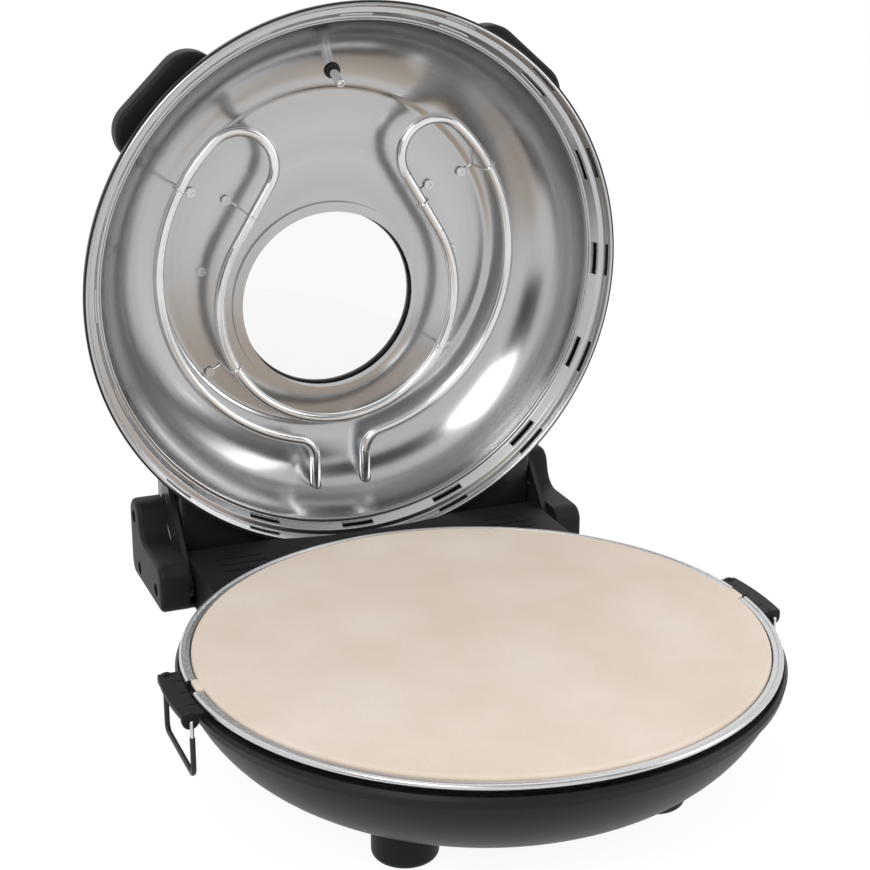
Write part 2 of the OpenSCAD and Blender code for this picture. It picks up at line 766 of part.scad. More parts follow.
module hinge_pin(side) {
    color([0.75, 0.75, 0.77]) row() mirror([side < 0 ? 1 : 0, 0, 0])
        hinge_line(housing_x - 10, cover_out - 2, pin_r);
}
module left_hinge_pin() { hinge_pin(-1); }
module right_hinge_pin() { hinge_pin(1); }

// Lid, drawn closed

// Filled outline of the lid's shell, shrunk by d
module shell_fill(d) {
    intersection() {
        union() {
            translate([shoulder_c, shoulder_z]) circle(shell_arc - d);
            square([shoulder_c, shell_top - d]);
            translate([0, 0]) square([shell_r - d, shoulder_z]);
        }
        translate([0, shell_low]) square([big, big]);
    }
}

// Wall of thickness t inside a quarter arc of radius r round the lid's shoulder
module shoulder_wall(r, t, low) {
    intersection() {
        translate([shoulder_c, shoulder_z]) difference() {
            circle(r);
            circle(r - t);
        }
        translate([shoulder_c, low]) square([r, r]);
    }
}

module lid_outer_shell() {
    color([0.05, 0.05, 0.055]) row() lid_pose() difference() {
        union() {
            rotate_extrude() shoulder_wall(shell_arc, shell_t, shoulder_z);
            translate([0, 0, shell_top - shell_t]) cylinder(r = shoulder_c, h = shell_t);
            rotate_extrude() translate([shell_r - shell_t, shell_low])
                square([shell_t, shoulder_z - shell_low]);
        }
        translate([0, window_y, shell_top - 2]) cylinder(r = window_r + 1.2, h = 4);
    }
}

// Height of the dome's inner face at radius r
function dome_h(r) = shoulder_z + sqrt(dome_r * dome_r - pow(r - shoulder_c, 2));

module dome_fill(d) {
    intersection() {
        union() {
            translate([shoulder_c, shoulder_z]) circle(dome_r + d);
            square([shoulder_c, shoulder_z + dome_r + d]);
            square([step_r + d, dome_top + d]);
        }
        translate([0, flange_z + rim_t]) square([big, big]);
    }
}

module lid_inner_dome() {
    color([0.82, 0.82, 0.83]) row() lid_pose() difference() {
        rotate_extrude() {
            difference() {
                dome_fill(dome_t);
                dome_fill(0);
            }
            translate([flange_r + 0.3, flange_z + rim_t]) square([flange_w * 0.55, dome_t]);
        }
        translate([0, window_y, 0]) cylinder(r = window_r + frame_t + seat, h = big);
        for (s = [-1, 1]) translate([s * tail_x, tail_wall - 12, loop_z]) rotate([-90, 0, 0])
            cylinder(r = bush_r + seat, h = 30);
        probe_axis() translate([0, 0, -6]) cylinder(r = probe_hole, h = 12);
        mirrored() for (p = concat(clip_screws, [plain_screw]))
            translate([p.x, p.y, dome_top - 2]) cylinder(r = shank_r + screw_play, h = 6);
    }
}

module lid_rim() {
    slot_a = vent_l / lip_r * 180 / PI;
    color([0.85, 0.85, 0.86]) row() lid_pose() difference() {
        rotate_extrude() {
            translate([lip_r, lip_z]) square([rim_t, lip_h + rim_t]);
            translate([flange_r + flange_w * 0.45, flange_z - 1.4]) square([flange_w * 0.55 + 0.1, rim_t]);
            translate([flange_r + flange_w * 0.45, flange_z - 1.4]) square([rim_t, 1.4 + rim_t]);
            translate([flange_r, flange_z]) square([flange_w * 0.45 + rim_t, rim_t]);
            translate([flange_r + 0.5, flange_z + 0.1]) circle(0.6);
        }
        for (i = [0:vents - 1]) rotate([0, 0, (i + 0.5) * 360 / vents - slot_a / 2])
            rotate_extrude(angle = slot_a) translate([lip_r - 1, lip_z + lip_h / 2 - vent_h / 2])
                square([4, vent_h]);
    }
}

module at_window(z) {
    translate([0, window_y, z]) children();
}

module window_frame() {
    color([0.8, 0.8, 0.81]) row() lid_pose() at_window(0) rotate_extrude() {
        translate([window_r, frame_z]) square([frame_t, gasket_z - frame_z]);
        translate([window_r + 0.4, frame_z]) square([frame_w - 0.4, frame_t]);
        translate([window_r + frame_w - frame_t, frame_z]) square([frame_t, frame_drop - seat]);
        translate([window_r, gasket_z - frame_t]) square([glass_r - window_r, frame_t]);
    }
}

module window_gasket() {
    color([0.1, 0.1, 0.1]) row() lid_pose() at_window(gasket_z) difference() {
        cylinder(r = glass_r, h = gasket_t);
        translate([0, 0, -1]) cylinder(r = window_r + 0.6, h = gasket_t + 2);
    }
}

module window_glass() {
    color([0.9, 0.95, 0.95, 0.4]) row() lid_pose() at_window(glass_z) rotate_extrude()
        polygon([[0, 0], [glass_r - 0.4, 0], [glass_r, 0.4], [glass_r, glass_t - 0.4],
            [glass_r - 0.4, glass_t], [0, glass_t]]);
}

module window_bezel() {
    color([0.07, 0.07, 0.075]) row() lid_pose() at_window(shell_top) rotate_extrude() difference() {
        union() {
            translate([window_r - 1, -shell_t - gap]) square([2, shell_t + gap + bezel_t]);
            translate([window_r - 1, seat]) square([bezel_r - window_r + 1, bezel_t - seat]);
        }
        translate([bezel_r, bezel_t]) circle(1.2);
        translate([window_r - 1, bezel_t]) circle(0.9);
    }
}

// Upper heater: from its terminals at the back round the outer loop, round a lobe at the front
// and back round the window. All points are those of its right half.
lobe_turn = unit([0, bend_y] - lobe_c);
lobe_cos = (lobe_r + bend_r) / norm([0, bend_y] - lobe_c);
lobe_n = lobe_turn * lobe_cos + turned(lobe_turn) * sqrt(1 - lobe_cos * lobe_cos);
lobe_exit = lobe_c + lobe_n * lobe_r;
bend_start = [0, bend_y] - lobe_n * bend_r;
bend_a = atan2(-lobe_n.y, -lobe_n.x);
lobe_angle = atan2(lobe_c.y, lobe_c.x);
fillet_c = [tail_x + tail_bend, tail_y];
fillet_a = atan2(fillet_c.y, fillet_c.x);
fillet_end = fillet_c * loop_r / norm(fillet_c);
lobe_start = polar(loop_r, lobe_angle);

module upper_element() {
    color([0.8, 0.8, 0.8]) row() lid_pose() translate([0, 0, loop_z]) {
        tube_arc([0, bend_y], bend_r, bend_a, 180 - bend_a, tube_r);
        mirrored() {
            tube_run([tail_x, tail_end], [tail_x, tail_y], tube_r);
            tube_arc(fillet_c, tail_bend, 180, 180 + fillet_a, tube_r);
            tube_arc([0, 0], loop_r, lobe_angle, fillet_a, tube_r);
            tube_arc(lobe_c, lobe_r, atan2(lobe_n.y, lobe_n.x) - 360, lobe_angle, tube_r);
            tube_run(lobe_exit, bend_start, tube_r);
            for (p = [[tail_x, tail_y], fillet_end, lobe_start, lobe_exit, bend_start])
                tube_joint(p, tube_r);
        }
        for (s = [-1, 1]) translate([s * tail_x - 0.4, tail_end - 1, -2.5]) cube([0.8, 3.5, 5]);
    }
}
// Clips on the upper heater: the tube's point and the direction from it to the screw
outer_clip_a = -29.5;
inner_clip_a = 28.5;
clip_points = [polar(loop_r, outer_clip_a), (lobe_exit + bend_start) / 2,
    [0, bend_y] + polar(bend_r, inner_clip_a)];
clip_turns = [outer_clip_a + 180, bend_a, inner_clip_a];
clip_screws = [for (i = [0:2]) clip_points[i] + polar(clip_screw, clip_turns[i])];
plain_screw = [80.7, 0.3];

module element_clips() {
    color([0.75, 0.75, 0.76]) row() lid_pose() mirrored() for (i = [0:2])
        translate([clip_points[i].x, clip_points[i].y, loop_z])
            rotate([0, 0, clip_turns[i] - 90]) mirror([0, 0, 1]) clip(loop_drop);
}

module element_screws() {
    color([0.75, 0.75, 0.77]) row() lid_pose() mirrored() {
        for (p = clip_screws) translate([p.x, p.y, dome_top - clip_t])
            screw(clip_t + 5, shank_r, clip_head, 1.8);
        translate([plain_screw.x, plain_screw.y, dome_top]) screw(5, shank_r, clip_head, 1.8);
    }
}

module upper_element_bushings() {
    color([0.9, 0.88, 0.84]) row() lid_pose() for (s = [-1, 1])
        translate([s * tail_x, tail_wall - 2.5, loop_z]) rotate([-90, 0, 0]) difference() {
            cylinder(r = bush_r, h = 9);
            translate([0, 0, -1]) cylinder(r = tube_r + seat, h = 12);
        }
}

// Probe axis: square to the dome's face at the front, +Z pointing into the dome's hollow
probe_at = 116;
probe_x = 1.5;
probe_r = 2.7;
probe_hole = 3.6;
module probe_axis() {
    tilt = asin((probe_at - shoulder_c) / dome_r);
    translate([probe_x, -probe_at, dome_h(probe_at)]) rotate([180 + tilt, 0, 0]) children();
}

module temperature_probe() {
    color([0.8, 0.8, 0.8]) row() lid_pose() probe_axis() rotate_extrude() polygon([[0, -6],
        [probe_r, -6], [probe_r, probe_l - 0.8], [probe_r - 0.8, probe_l], [1.2, probe_l],
        [0.9, probe_l - 1], [0, probe_l - 1]]);
}

module probe_grommet() {
    color([0.04, 0.04, 0.04]) row() lid_pose() probe_axis() difference() {
        union() {
            translate([0, 0, -2.6]) cylinder(r = probe_hole - seat, h = 3.5);
            translate([0, 0, 0.3]) cylinder(r = probe_hole + 1.2, h = 1.6);
            translate([0, 0, -dome_t - 1.9]) cylinder(r = probe_hole + 1.2, h = 1.6);
        }
        translate([0, 0, -5]) cylinder(r = probe_r + seat, h = 10);
    }
}

module lid_thermostat() {
    color([0.25, 0.25, 0.27]) row() lid_pose() probe_axis() difference() {
        translate([0, 0, -8.4]) cylinder(r = 8, h = 5.6);
        translate([0, 0, -6]) cylinder(r = probe_r + seat, h = 10);
    }
}

// Lid handles: hollow moulded tabs beside the front of the lid
module handle_outline(d) {
    polygon(rounded([[shell_r - 30, -33 + d], [shell_r - 1, -33 + d], [handle_out - d, -24 + d],
        [handle_out - d, 24 - d], [shell_r - 1, 33 - d], [shell_r - 30, 33 - d]],
        [0, 8, 9 - d, 9 - d, 8, 0], 6));
}

module shell_body(d) {
    rotate_extrude() {
        shell_fill(-d);
        square([shell_r + d, shoulder_z]);
    }
}

module lid_handle(side) {
    color([0.06, 0.06, 0.065]) row() lid_pose() rotate([0, 0, -90 + side * handle_a]) difference() {
        translate([0, 0, handle_low]) linear_extrude(handle_h) handle_outline(0);
        shell_body(seat);
        difference() {
            translate([0, 0, handle_low - 1]) linear_extrude(handle_h - handle_t + 1)
                handle_outline(handle_t);
            shell_body(handle_t);
        }
        for (y = [-14, 14]) translate([shell_r - 20, y, handle_low + 6]) rotate([0, 90, 0])
            cylinder(r = shank_r, h = 24);
    }
}
module left_lid_handle() { lid_handle(-1); }
module right_lid_handle() { lid_handle(1); }

module handle_screws() {
    color([0.2, 0.2, 0.2]) row() lid_pose() for (s = [-1, 1]) rotate([0, 0, -90 + s * handle_a])
        for (y = [-14, 14]) translate([shell_r + handle_t + 0.4, y, handle_low + 6]) rotate([0, -90, 0])
            screw(handle_t, shank_r - seat, 3, 1.6);
}

// Moulded housing behind the lid, carried by the two arms
module lid_hinge_housing() {
    box_top = lid_box_low + 30;
    color([0.04, 0.04, 0.045]) row() lid_pose() difference() {
        side_solid(-housing_x, housing_x)
            polygon(rounded([[60, lid_box_low], [lid_box_back, lid_box_low],
                [lid_box_back, lid_box_low + 18], [lid_box_back - 26, box_top], [60, box_top]],
                [0, 4, 6, 8, 0], 5));
        shell_body(seat);
        difference() {
            side_solid(housing_t - housing_x, housing_x - housing_t)
                polygon([[60, lid_box_low + housing_t],
                    [lid_box_back - housing_t, lid_box_low + housing_t],
                    [lid_box_back - housing_t, lid_box_low + 17],
                    [lid_box_back - 27, box_top - housing_t], [60, box_top - housing_t]]);
            shell_body(housing_t);
        }
        for (s = [-1, 1]) translate([s * 88, hinge_y - 10, lid_box_low])
            cube([22, 3, 3], center = true);
        mirrored() for (p = arm_screw_places()) translate([housing_x - 10, p.x, p.y])
            rotate([0, 90, 0]) cylinder(r = shank_r, h = 12);
    }
}

function arm_screw_places() = let (c = [hinge_y, hinge_z], d = unit(arm_end - c))
    [arm_end, arm_end - d * 22];

module lid_arm(side) {
    color([0.55, 0.55, 0.56]) row() lid_pose() mirror([side < 0 ? 1 : 0, 0, 0]) difference() {
        link([hinge_y, hinge_z], eye_r, arm_end, arm_end_r, arm_in, arm_out);
        hinge_line(arm_in - 1, arm_out + 1, pin_r + pin_play);
        for (p = arm_screw_places()) {
            translate([arm_in - 1, p.x, p.y]) rotate([0, 90, 0])
                cylinder(r = shank_r + screw_play, h = 10);
            translate([arm_out - 1.6, p.x, p.y]) rotate([0, 90, 0])
                cylinder(r = head_r + screw_play, h = 4);
        }
    }
}
module left_lid_arm() { lid_arm(-1); }
module right_lid_arm() { lid_arm(1); }

module arm_screws() {
    color([0.75, 0.75, 0.77]) row() lid_pose() mirrored() for (p = arm_screw_places())
        translate([arm_out - 1.6, p.x, p.y]) rotate([0, -90, 0])
            screw(arm_out - 1.6 - housing_x + 6, shank_r - seat, head_r, 1.4);
}

// Lower part of a bail: two arms that end h below the pivots, two bends and a bar
module bail_loop(r, h) {
    low = pivot_z - bail_l;
    run = bail_l - bail_bend - h;
    for (s = [-1, 1]) {
        translate([pivot_x, s * bail_y, low + bail_bend + joint_cut])
            cylinder(r = r, h = run - 2 * joint_cut, $fn = 32);
        translate([pivot_x, s * bail_y, low + bail_bend]) sphere(r + joint_bead, $fn = 32);
        translate([pivot_x, s * (bail_y - bail_bend), low]) sphere(r + joint_bead, $fn = 32);
        translate([pivot_x, s * (bail_y - bail_bend), low + bail_bend]) rotate([90, 0, 90])
            tube_arc([0, 0], bail_bend, s > 0 ? -90 : -180, s > 0 ? 0 : -90, r);
    }
    translate([pivot_x, 0, low]) rotate([90, 0, 0])
        cylinder(r = r, h = 2 * (bail_y - bail_bend - joint_cut), center = true, $fn = 32);
}

module bail_wire(side) {
    color([0.75, 0.75, 0.76]) row() mirror([side < 0 ? 1 : 0, 0, 0]) {
        bail_loop(wire_r, 0);
        for (s = [-1, 1]) translate([pivot_x, s * bail_y, pivot_z]) {
            sphere(wire_r + joint_bead, $fn = 32);
            rotate([s * 90, 0, 0]) translate([0, 0, joint_cut])
                cylinder(r = wire_r, h = bail_y - bracket_l / 2 + ear_t, $fn = 32);
        }
    }
}
module bail_sleeve(side) {
    color([0.05, 0.05, 0.05]) row() mirror([side < 0 ? 1 : 0, 0, 0]) difference() {
        bail_loop(sleeve_r, bare_l);
        bail_loop(wire_r + seat, 0);
    }
}
module left_bail_wire() { bail_wire(-1); }
module left_bail_sleeve() { bail_sleeve(-1); }
module right_bail_wire() { bail_wire(1); }
module right_bail_sleeve() { bail_sleeve(1); }

base_bowl();
inner_pan();
pizza_stone();
lower_element();
lower_element_clips();
lower_element_bushings();
pan_standoffs();
base_screws();
base_thermostat();
thermal_fuse();
terminal_block();
foot_front_left();
foot_front_right();
foot_rear_left();
foot_rear_right();
foot_screws();
left_side_bracket();
right_side_bracket();
bracket_screws();
rear_housing();
housing_floor();
housing_screws();
cord_gland();
left_hinge_bracket();
right_hinge_bracket();
left_hinge_cover();
right_hinge_cover();
hinge_cover_screws();
left_hinge_pin();
right_hinge_pin();
lid_outer_shell();
lid_inner_dome();
lid_rim();
window_frame();
window_gasket();
window_glass();
window_bezel();
upper_element();
element_clips();
element_screws();
upper_element_bushings();
temperature_probe();
probe_grommet();
lid_thermostat();
left_lid_handle();
right_lid_handle();
handle_screws();
lid_hinge_housing();
left_lid_arm();
right_lid_arm();
arm_screws();
left_bail_wire();
left_bail_sleeve();
right_bail_wire();
right_bail_sleeve();
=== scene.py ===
# %% [markdown]
# # An electric pizza maker, dressed piece by piece
# The solids come from the CAD model and never move. This lesson gives them a camera, a floor,
# soft studio light and real finishes, and models again the pieces whose looks need smooth,
# freely curved surfaces.

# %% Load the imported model
import json
import math
import bpy
from mathutils import Matrix, Vector


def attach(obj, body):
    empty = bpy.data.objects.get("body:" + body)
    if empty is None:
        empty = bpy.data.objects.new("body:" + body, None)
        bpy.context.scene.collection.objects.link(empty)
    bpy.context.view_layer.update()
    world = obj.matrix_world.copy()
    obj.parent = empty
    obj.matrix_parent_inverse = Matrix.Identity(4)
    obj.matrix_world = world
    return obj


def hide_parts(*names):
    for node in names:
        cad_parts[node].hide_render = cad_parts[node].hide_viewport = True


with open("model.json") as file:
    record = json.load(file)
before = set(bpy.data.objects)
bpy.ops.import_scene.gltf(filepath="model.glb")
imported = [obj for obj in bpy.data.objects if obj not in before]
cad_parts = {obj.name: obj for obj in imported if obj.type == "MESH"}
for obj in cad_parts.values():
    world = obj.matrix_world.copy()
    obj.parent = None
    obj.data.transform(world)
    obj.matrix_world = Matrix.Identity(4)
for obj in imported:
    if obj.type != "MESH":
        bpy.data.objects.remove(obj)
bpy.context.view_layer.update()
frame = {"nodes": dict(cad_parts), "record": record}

bpy.ops.object.select_all(action="DESELECT")

# %% [markdown]
# ## Camera
# The pizza maker is seen from the front left and a little above. The place and the lens were found by
# matching the steel ring, the lid's rim and the hinge covers with the picture. A long lens keeps
# the circles calm, so it is set in millimetres on a 36 mm sensor.

# %% Camera
def look_from(name, place, target, lens):
    bpy.ops.object.camera_add(location=place)
    camera = bpy.context.object
    camera.name = name
    camera.rotation_euler = (Vector(target) - Vector(place)).to_track_quat("-Z", "Y").to_euler()
    camera.data.sensor_width = 36
    camera.data.lens = lens
    camera.data.clip_start = 0.01
    camera.data.clip_end = 100
    return camera


camera_place = (-0.3596, -0.881466, 0.5015)
camera_target = (-0.02584, -0.047466, 0.19235)
camera_lens = 78.14
camera = look_from("camera", camera_place, camera_target, camera_lens)
bpy.context.scene.camera = camera
bpy.context.scene.view_settings.view_transform = "Standard"
line_of_sight = Vector(camera_target) - Vector(camera_place)
print("camera looks down", round(math.degrees(math.asin(-line_of_sight.normalized().z)), 1), "degrees")

# %% [markdown]
# ## Floor
# A studio sweep is a wide plane of pale card. One plane is enough here, because the camera looks
# down and never sees its far edge. Its material is plain diffuse white for the light that falls on
# it. For the camera and for reflections it is mixed with a soft glow, so the card comes out white
# and still keeps the shadow under the bowl.

# %% Floor
def light_path_sum(tree):
    """Camera, glossy and transmission rays added, as one value from 0 to 1."""
    path = tree.nodes.new("ShaderNodeLightPath")
    first = tree.nodes.new("ShaderNodeMath")
    first.operation = "ADD"
    tree.links.new(path.outputs["Is Camera Ray"], first.inputs[0])
    tree.links.new(path.outputs["Is Glossy Ray"], first.inputs[1])
    second = tree.nodes.new("ShaderNodeMath")
    second.operation = "ADD"
    second.use_clamp = True
    tree.links.new(first.outputs[0], second.inputs[0])
    tree.links.new(path.outputs["Is Transmission Ray"], second.inputs[1])
    return second.outputs[0]


def pale_card():
    card = bpy.data.materials.new("pale_card")
    card.use_nodes = True
    tree = card.node_tree
    tree.nodes.clear()
    paper = tree.nodes.new("ShaderNodeBsdfDiffuse")
    paper.inputs["Color"].default_value = (0.86, 0.86, 0.86, 1)
    glow = tree.nodes.new("ShaderNodeEmission")
    glow.inputs["Color"].default_value = (1, 1, 1, 1)
    glow.inputs["Strength"].default_value = 1.1
    part = tree.nodes.new("ShaderNodeMath")
    part.operation = "MULTIPLY"
    part.inputs[1].default_value = 0.84
    tree.links.new(light_path_sum(tree), part.inputs[0])
    mix = tree.nodes.new("ShaderNodeMixShader")
    tree.links.new(part.outputs[0], mix.inputs["Fac"])
    tree.links.new(paper.outputs[0], mix.inputs[1])
    tree.links.new(glow.outputs[0], mix.inputs[2])
    out = tree.nodes.new("ShaderNodeOutputMaterial")
    tree.links.new(mix.outputs[0], out.inputs["Surface"])
    return card


bpy.ops.mesh.primitive_plane_add(size=60, location=(0, 0, -0.0002))
floor = bpy.context.object
floor.name = "studio_floor"
floor.data.materials.append(pale_card())
bpy.ops.object.select_all(action="DESELECT")
print("floor is", floor.dimensions.x, "m wide")

# %% [markdown]
# ## Light
# Product pictures of polished steel are lit by large soft boxes, which show in the metal as broad
# bright fields. The world gives an even base, and three area lamps add a key from the upper left,
# a fill from the right and a strip over the back. Three dark cards, which only reflections see, put
# soft dark bands between the bright fields, as black flags do in a studio.

# %% Light
def soft_box(name, place, target, width, height, power):
    bpy.ops.object.light_add(type="AREA", location=place)
    lamp = bpy.context.object
    lamp.name = name
    lamp.rotation_euler = (Vector(target) - Vector(place)).to_track_quat("-Z", "Y").to_euler()
    lamp.data.shape = "RECTANGLE"
    lamp.data.size = width
    lamp.data.size_y = height
    lamp.data.energy = power
    return lamp


key_light = soft_box("key_light", (-1.5, -1.3, 1.7), (0, 0, 0.15), 1.2, 1.2, 26)
fill_light = soft_box("fill_light", (1.7, -1.0, 1.0), (0, 0, 0.2), 1.0, 1.4, 14)
back_light = soft_box("back_light", (0.3, 1.5, 1.8), (0, 0, 0.2), 1.6, 0.6, 6)


def studio_world():
    world = bpy.data.worlds.new("studio_world")
    bpy.context.scene.world = world
    world.use_nodes = True
    tree = world.node_tree
    tree.nodes.clear()
    even = tree.nodes.new("ShaderNodeBackground")
    even.inputs["Color"].default_value = (1, 1, 1, 1)
    even.inputs["Strength"].default_value = 0.55
    white = tree.nodes.new("ShaderNodeBackground")
    white.inputs["Color"].default_value = (1, 1, 1, 1)
    white.inputs["Strength"].default_value = 1.0
    mix = tree.nodes.new("ShaderNodeMixShader")
    tree.links.new(light_path_sum(tree), mix.inputs["Fac"])
    tree.links.new(even.outputs[0], mix.inputs[1])
    tree.links.new(white.outputs[0], mix.inputs[2])
    out = tree.nodes.new("ShaderNodeOutputWorld")
    tree.links.new(mix.outputs[0], out.inputs["Surface"])


studio_world()
bpy.ops.object.select_all(action="DESELECT")


def dark_flag(name, place, target, width, height):
    """A dark card that only reflections see; it gives polished metal its soft dark bands."""
    bpy.ops.mesh.primitive_plane_add(size=1, location=place)
    flag = bpy.context.object
    flag.name = name
    flag.rotation_euler = (Vector(target) - Vector(place)).to_track_quat("Z", "Y").to_euler()
    flag.scale = (width, height, 1)
    cloth = bpy.data.materials.new(name + "_cloth")
    cloth.use_nodes = True
    shader = cloth.node_tree.nodes["Principled BSDF"]
    shader.inputs["Base Color"].default_value = (0.03, 0.03, 0.03, 1)
    shader.inputs["Roughness"].default_value = 1
    flag.data.materials.append(cloth)
    flag.visible_camera = False
    flag.visible_diffuse = False
    flag.visible_shadow = False
    flag.visible_transmission = False
    return flag


dark_flag("left_flag", (-1.4, -0.9, 0.35), (0, 0, 0.2), 0.8, 1.1)
dark_flag("right_flag", (1.1, -1.5, 1.0), (0, 0, 0.25), 0.9, 1.0)
dark_flag("top_flag", (0.1, -0.9, 1.6), (0, 0, 0.25), 1.6, 0.6)
bpy.ops.object.select_all(action="DESELECT")
print("lamps:", [lamp.name for lamp in (key_light, fill_light, back_light)])

# %% [markdown]
# ## Shared texture effects
# Most finishes need the same three things: a fine grain, a slow cloudiness and a few scuffs. They
# are kept as node groups, so each finish is only a short list of numbers. The groups read object
# coordinates, which are metres here, and give out only values.

# %% Node group: grain and cloud
def grain_group():
    group = bpy.data.node_groups.new("surface_grain", "ShaderNodeTree")
    group.interface.new_socket("Grain Scale", in_out="INPUT", socket_type="NodeSocketFloat")
    group.interface.new_socket("Cloud Scale", in_out="INPUT", socket_type="NodeSocketFloat")
    group.interface.new_socket("Grain", in_out="OUTPUT", socket_type="NodeSocketFloat")
    group.interface.new_socket("Cloud", in_out="OUTPUT", socket_type="NodeSocketFloat")
    group.interface.new_socket("Scuff", in_out="OUTPUT", socket_type="NodeSocketFloat")
    entry = group.nodes.new("NodeGroupInput")
    leave = group.nodes.new("NodeGroupOutput")
    place = group.nodes.new("ShaderNodeTexCoord")
    fine = group.nodes.new("ShaderNodeTexNoise")
    fine.inputs["Detail"].default_value = 3
    fine.inputs["Roughness"].default_value = 0.6
    slow = group.nodes.new("ShaderNodeTexNoise")
    slow.inputs["Detail"].default_value = 2
    streak = group.nodes.new("ShaderNodeTexNoise")
    streak.inputs["Scale"].default_value = 60
    streak.inputs["Detail"].default_value = 6
    streak.inputs["Distortion"].default_value = 1.4
    ramp = group.nodes.new("ShaderNodeMapRange")
    ramp.inputs["From Min"].default_value = 0.62
    ramp.inputs["From Max"].default_value = 0.80
    for texture in (fine, slow, streak):
        group.links.new(place.outputs["Object"], texture.inputs["Vector"])
    group.links.new(entry.outputs["Grain Scale"], fine.inputs["Scale"])
    group.links.new(entry.outputs["Cloud Scale"], slow.inputs["Scale"])
    group.links.new(streak.outputs["Fac"], ramp.inputs["Value"])
    group.links.new(fine.outputs["Fac"], leave.inputs["Grain"])
    group.links.new(slow.outputs["Fac"], leave.inputs["Cloud"])
    group.links.new(ramp.outputs["Result"], leave.inputs["Scuff"])
    return group


surface_grain = grain_group()
print("group outputs:", [item.name for item in surface_grain.interface.items_tree])

# %% Node group: rings about an axis
def ring_group():
    """Fine lines that run round an axis, as a lathe or a spinning brush leaves them."""
    group = bpy.data.node_groups.new("spun_lines", "ShaderNodeTree")
    for name in ("Centre", "Turn"):
        group.interface.new_socket(name, in_out="INPUT", socket_type="NodeSocketVector")
    group.interface.new_socket("Lines", in_out="INPUT", socket_type="NodeSocketFloat")
    group.interface.new_socket("Line", in_out="OUTPUT", socket_type="NodeSocketFloat")
    group.interface.new_socket("Broad", in_out="OUTPUT", socket_type="NodeSocketFloat")
    entry = group.nodes.new("NodeGroupInput")
    leave = group.nodes.new("NodeGroupOutput")
    place = group.nodes.new("ShaderNodeTexCoord")
    moved = group.nodes.new("ShaderNodeVectorMath")
    moved.operation = "SUBTRACT"
    turned = group.nodes.new("ShaderNodeVectorRotate")
    turned.rotation_type = "EULER_XYZ"
    split = group.nodes.new("ShaderNodeSeparateXYZ")
    flat = group.nodes.new("ShaderNodeCombineXYZ")
    far = group.nodes.new("ShaderNodeVectorMath")
    far.operation = "LENGTH"
    join = group.nodes.new("ShaderNodeCombineXYZ")
    wide = group.nodes.new("ShaderNodeTexNoise")
    wide.inputs["Scale"].default_value = 55
    wide.inputs["Detail"].default_value = 4
    fine = group.nodes.new("ShaderNodeTexNoise")
    fine.inputs["Detail"].default_value = 2
    group.links.new(place.outputs["Object"], moved.inputs[0])
    group.links.new(entry.outputs["Centre"], moved.inputs[1])
    group.links.new(moved.outputs["Vector"], turned.inputs["Vector"])
    group.links.new(entry.outputs["Turn"], turned.inputs["Rotation"])
    group.links.new(turned.outputs["Vector"], split.inputs[0])
    group.links.new(split.outputs["X"], flat.inputs["X"])
    group.links.new(split.outputs["Y"], flat.inputs["Y"])
    group.links.new(flat.outputs[0], far.inputs[0])
    group.links.new(far.outputs["Value"], join.inputs["X"])
    group.links.new(split.outputs["Z"], join.inputs["Z"])
    group.links.new(join.outputs[0], fine.inputs["Vector"])
    group.links.new(join.outputs[0], wide.inputs["Vector"])
    group.links.new(entry.outputs["Lines"], fine.inputs["Scale"])
    group.links.new(fine.outputs["Fac"], leave.inputs["Line"])
    group.links.new(wide.outputs["Fac"], leave.inputs["Broad"])
    return group


spun_lines = ring_group()
print("group outputs:", [item.name for item in spun_lines.interface.items_tree])

# %% [markdown]
# ## Finishes
# A finish starts from the Principled shader. What is the same all over, such as the metal value or
# the coat, is set on the shader itself. What changes from place to place comes from the groups:
# colour between two near tones, roughness between two values, and a bump of real depth.

# %% Helpers for finishes
def new_finish(name):
    finish = bpy.data.materials.new(name)
    finish.use_nodes = True
    shader = finish.node_tree.nodes["Principled BSDF"]
    return finish, finish.node_tree, shader


def use_group(tree, group, **values):
    node = tree.nodes.new("ShaderNodeGroup")
    node.node_tree = group
    for name, value in values.items():
        node.inputs[name.replace("_", " ")].default_value = value
    return node


def spread(tree, source, low, high, start=0.3, end=0.7):
    """Turns a 0 to 1 value into a value between low and high."""
    node = tree.nodes.new("ShaderNodeMapRange")
    node.inputs["From Min"].default_value = start
    node.inputs["From Max"].default_value = end
    node.inputs["To Min"].default_value = low
    node.inputs["To Max"].default_value = high
    tree.links.new(source, node.inputs["Value"])
    return node.outputs["Result"]


def two_tones(tree, source, first, second):
    node = tree.nodes.new("ShaderNodeMix")
    node.data_type = "RGBA"
    node.inputs["A"].default_value = (*first, 1)
    node.inputs["B"].default_value = (*second, 1)
    tree.links.new(source, node.inputs["Factor"])
    return node.outputs["Result"]


def add_bump(tree, shader, height, depth, under=None):
    """A bump whose depth is in metres; under is another bump that it stands on."""
    node = tree.nodes.new("ShaderNodeBump")
    node.inputs["Distance"].default_value = depth
    node.inputs["Strength"].default_value = 1
    tree.links.new(height, node.inputs["Height"])
    if under is not None:
        tree.links.new(under, node.inputs["Normal"])
    tree.links.new(node.outputs["Normal"], shader.inputs["Normal"])
    return node.outputs["Normal"]


print("helpers ready")

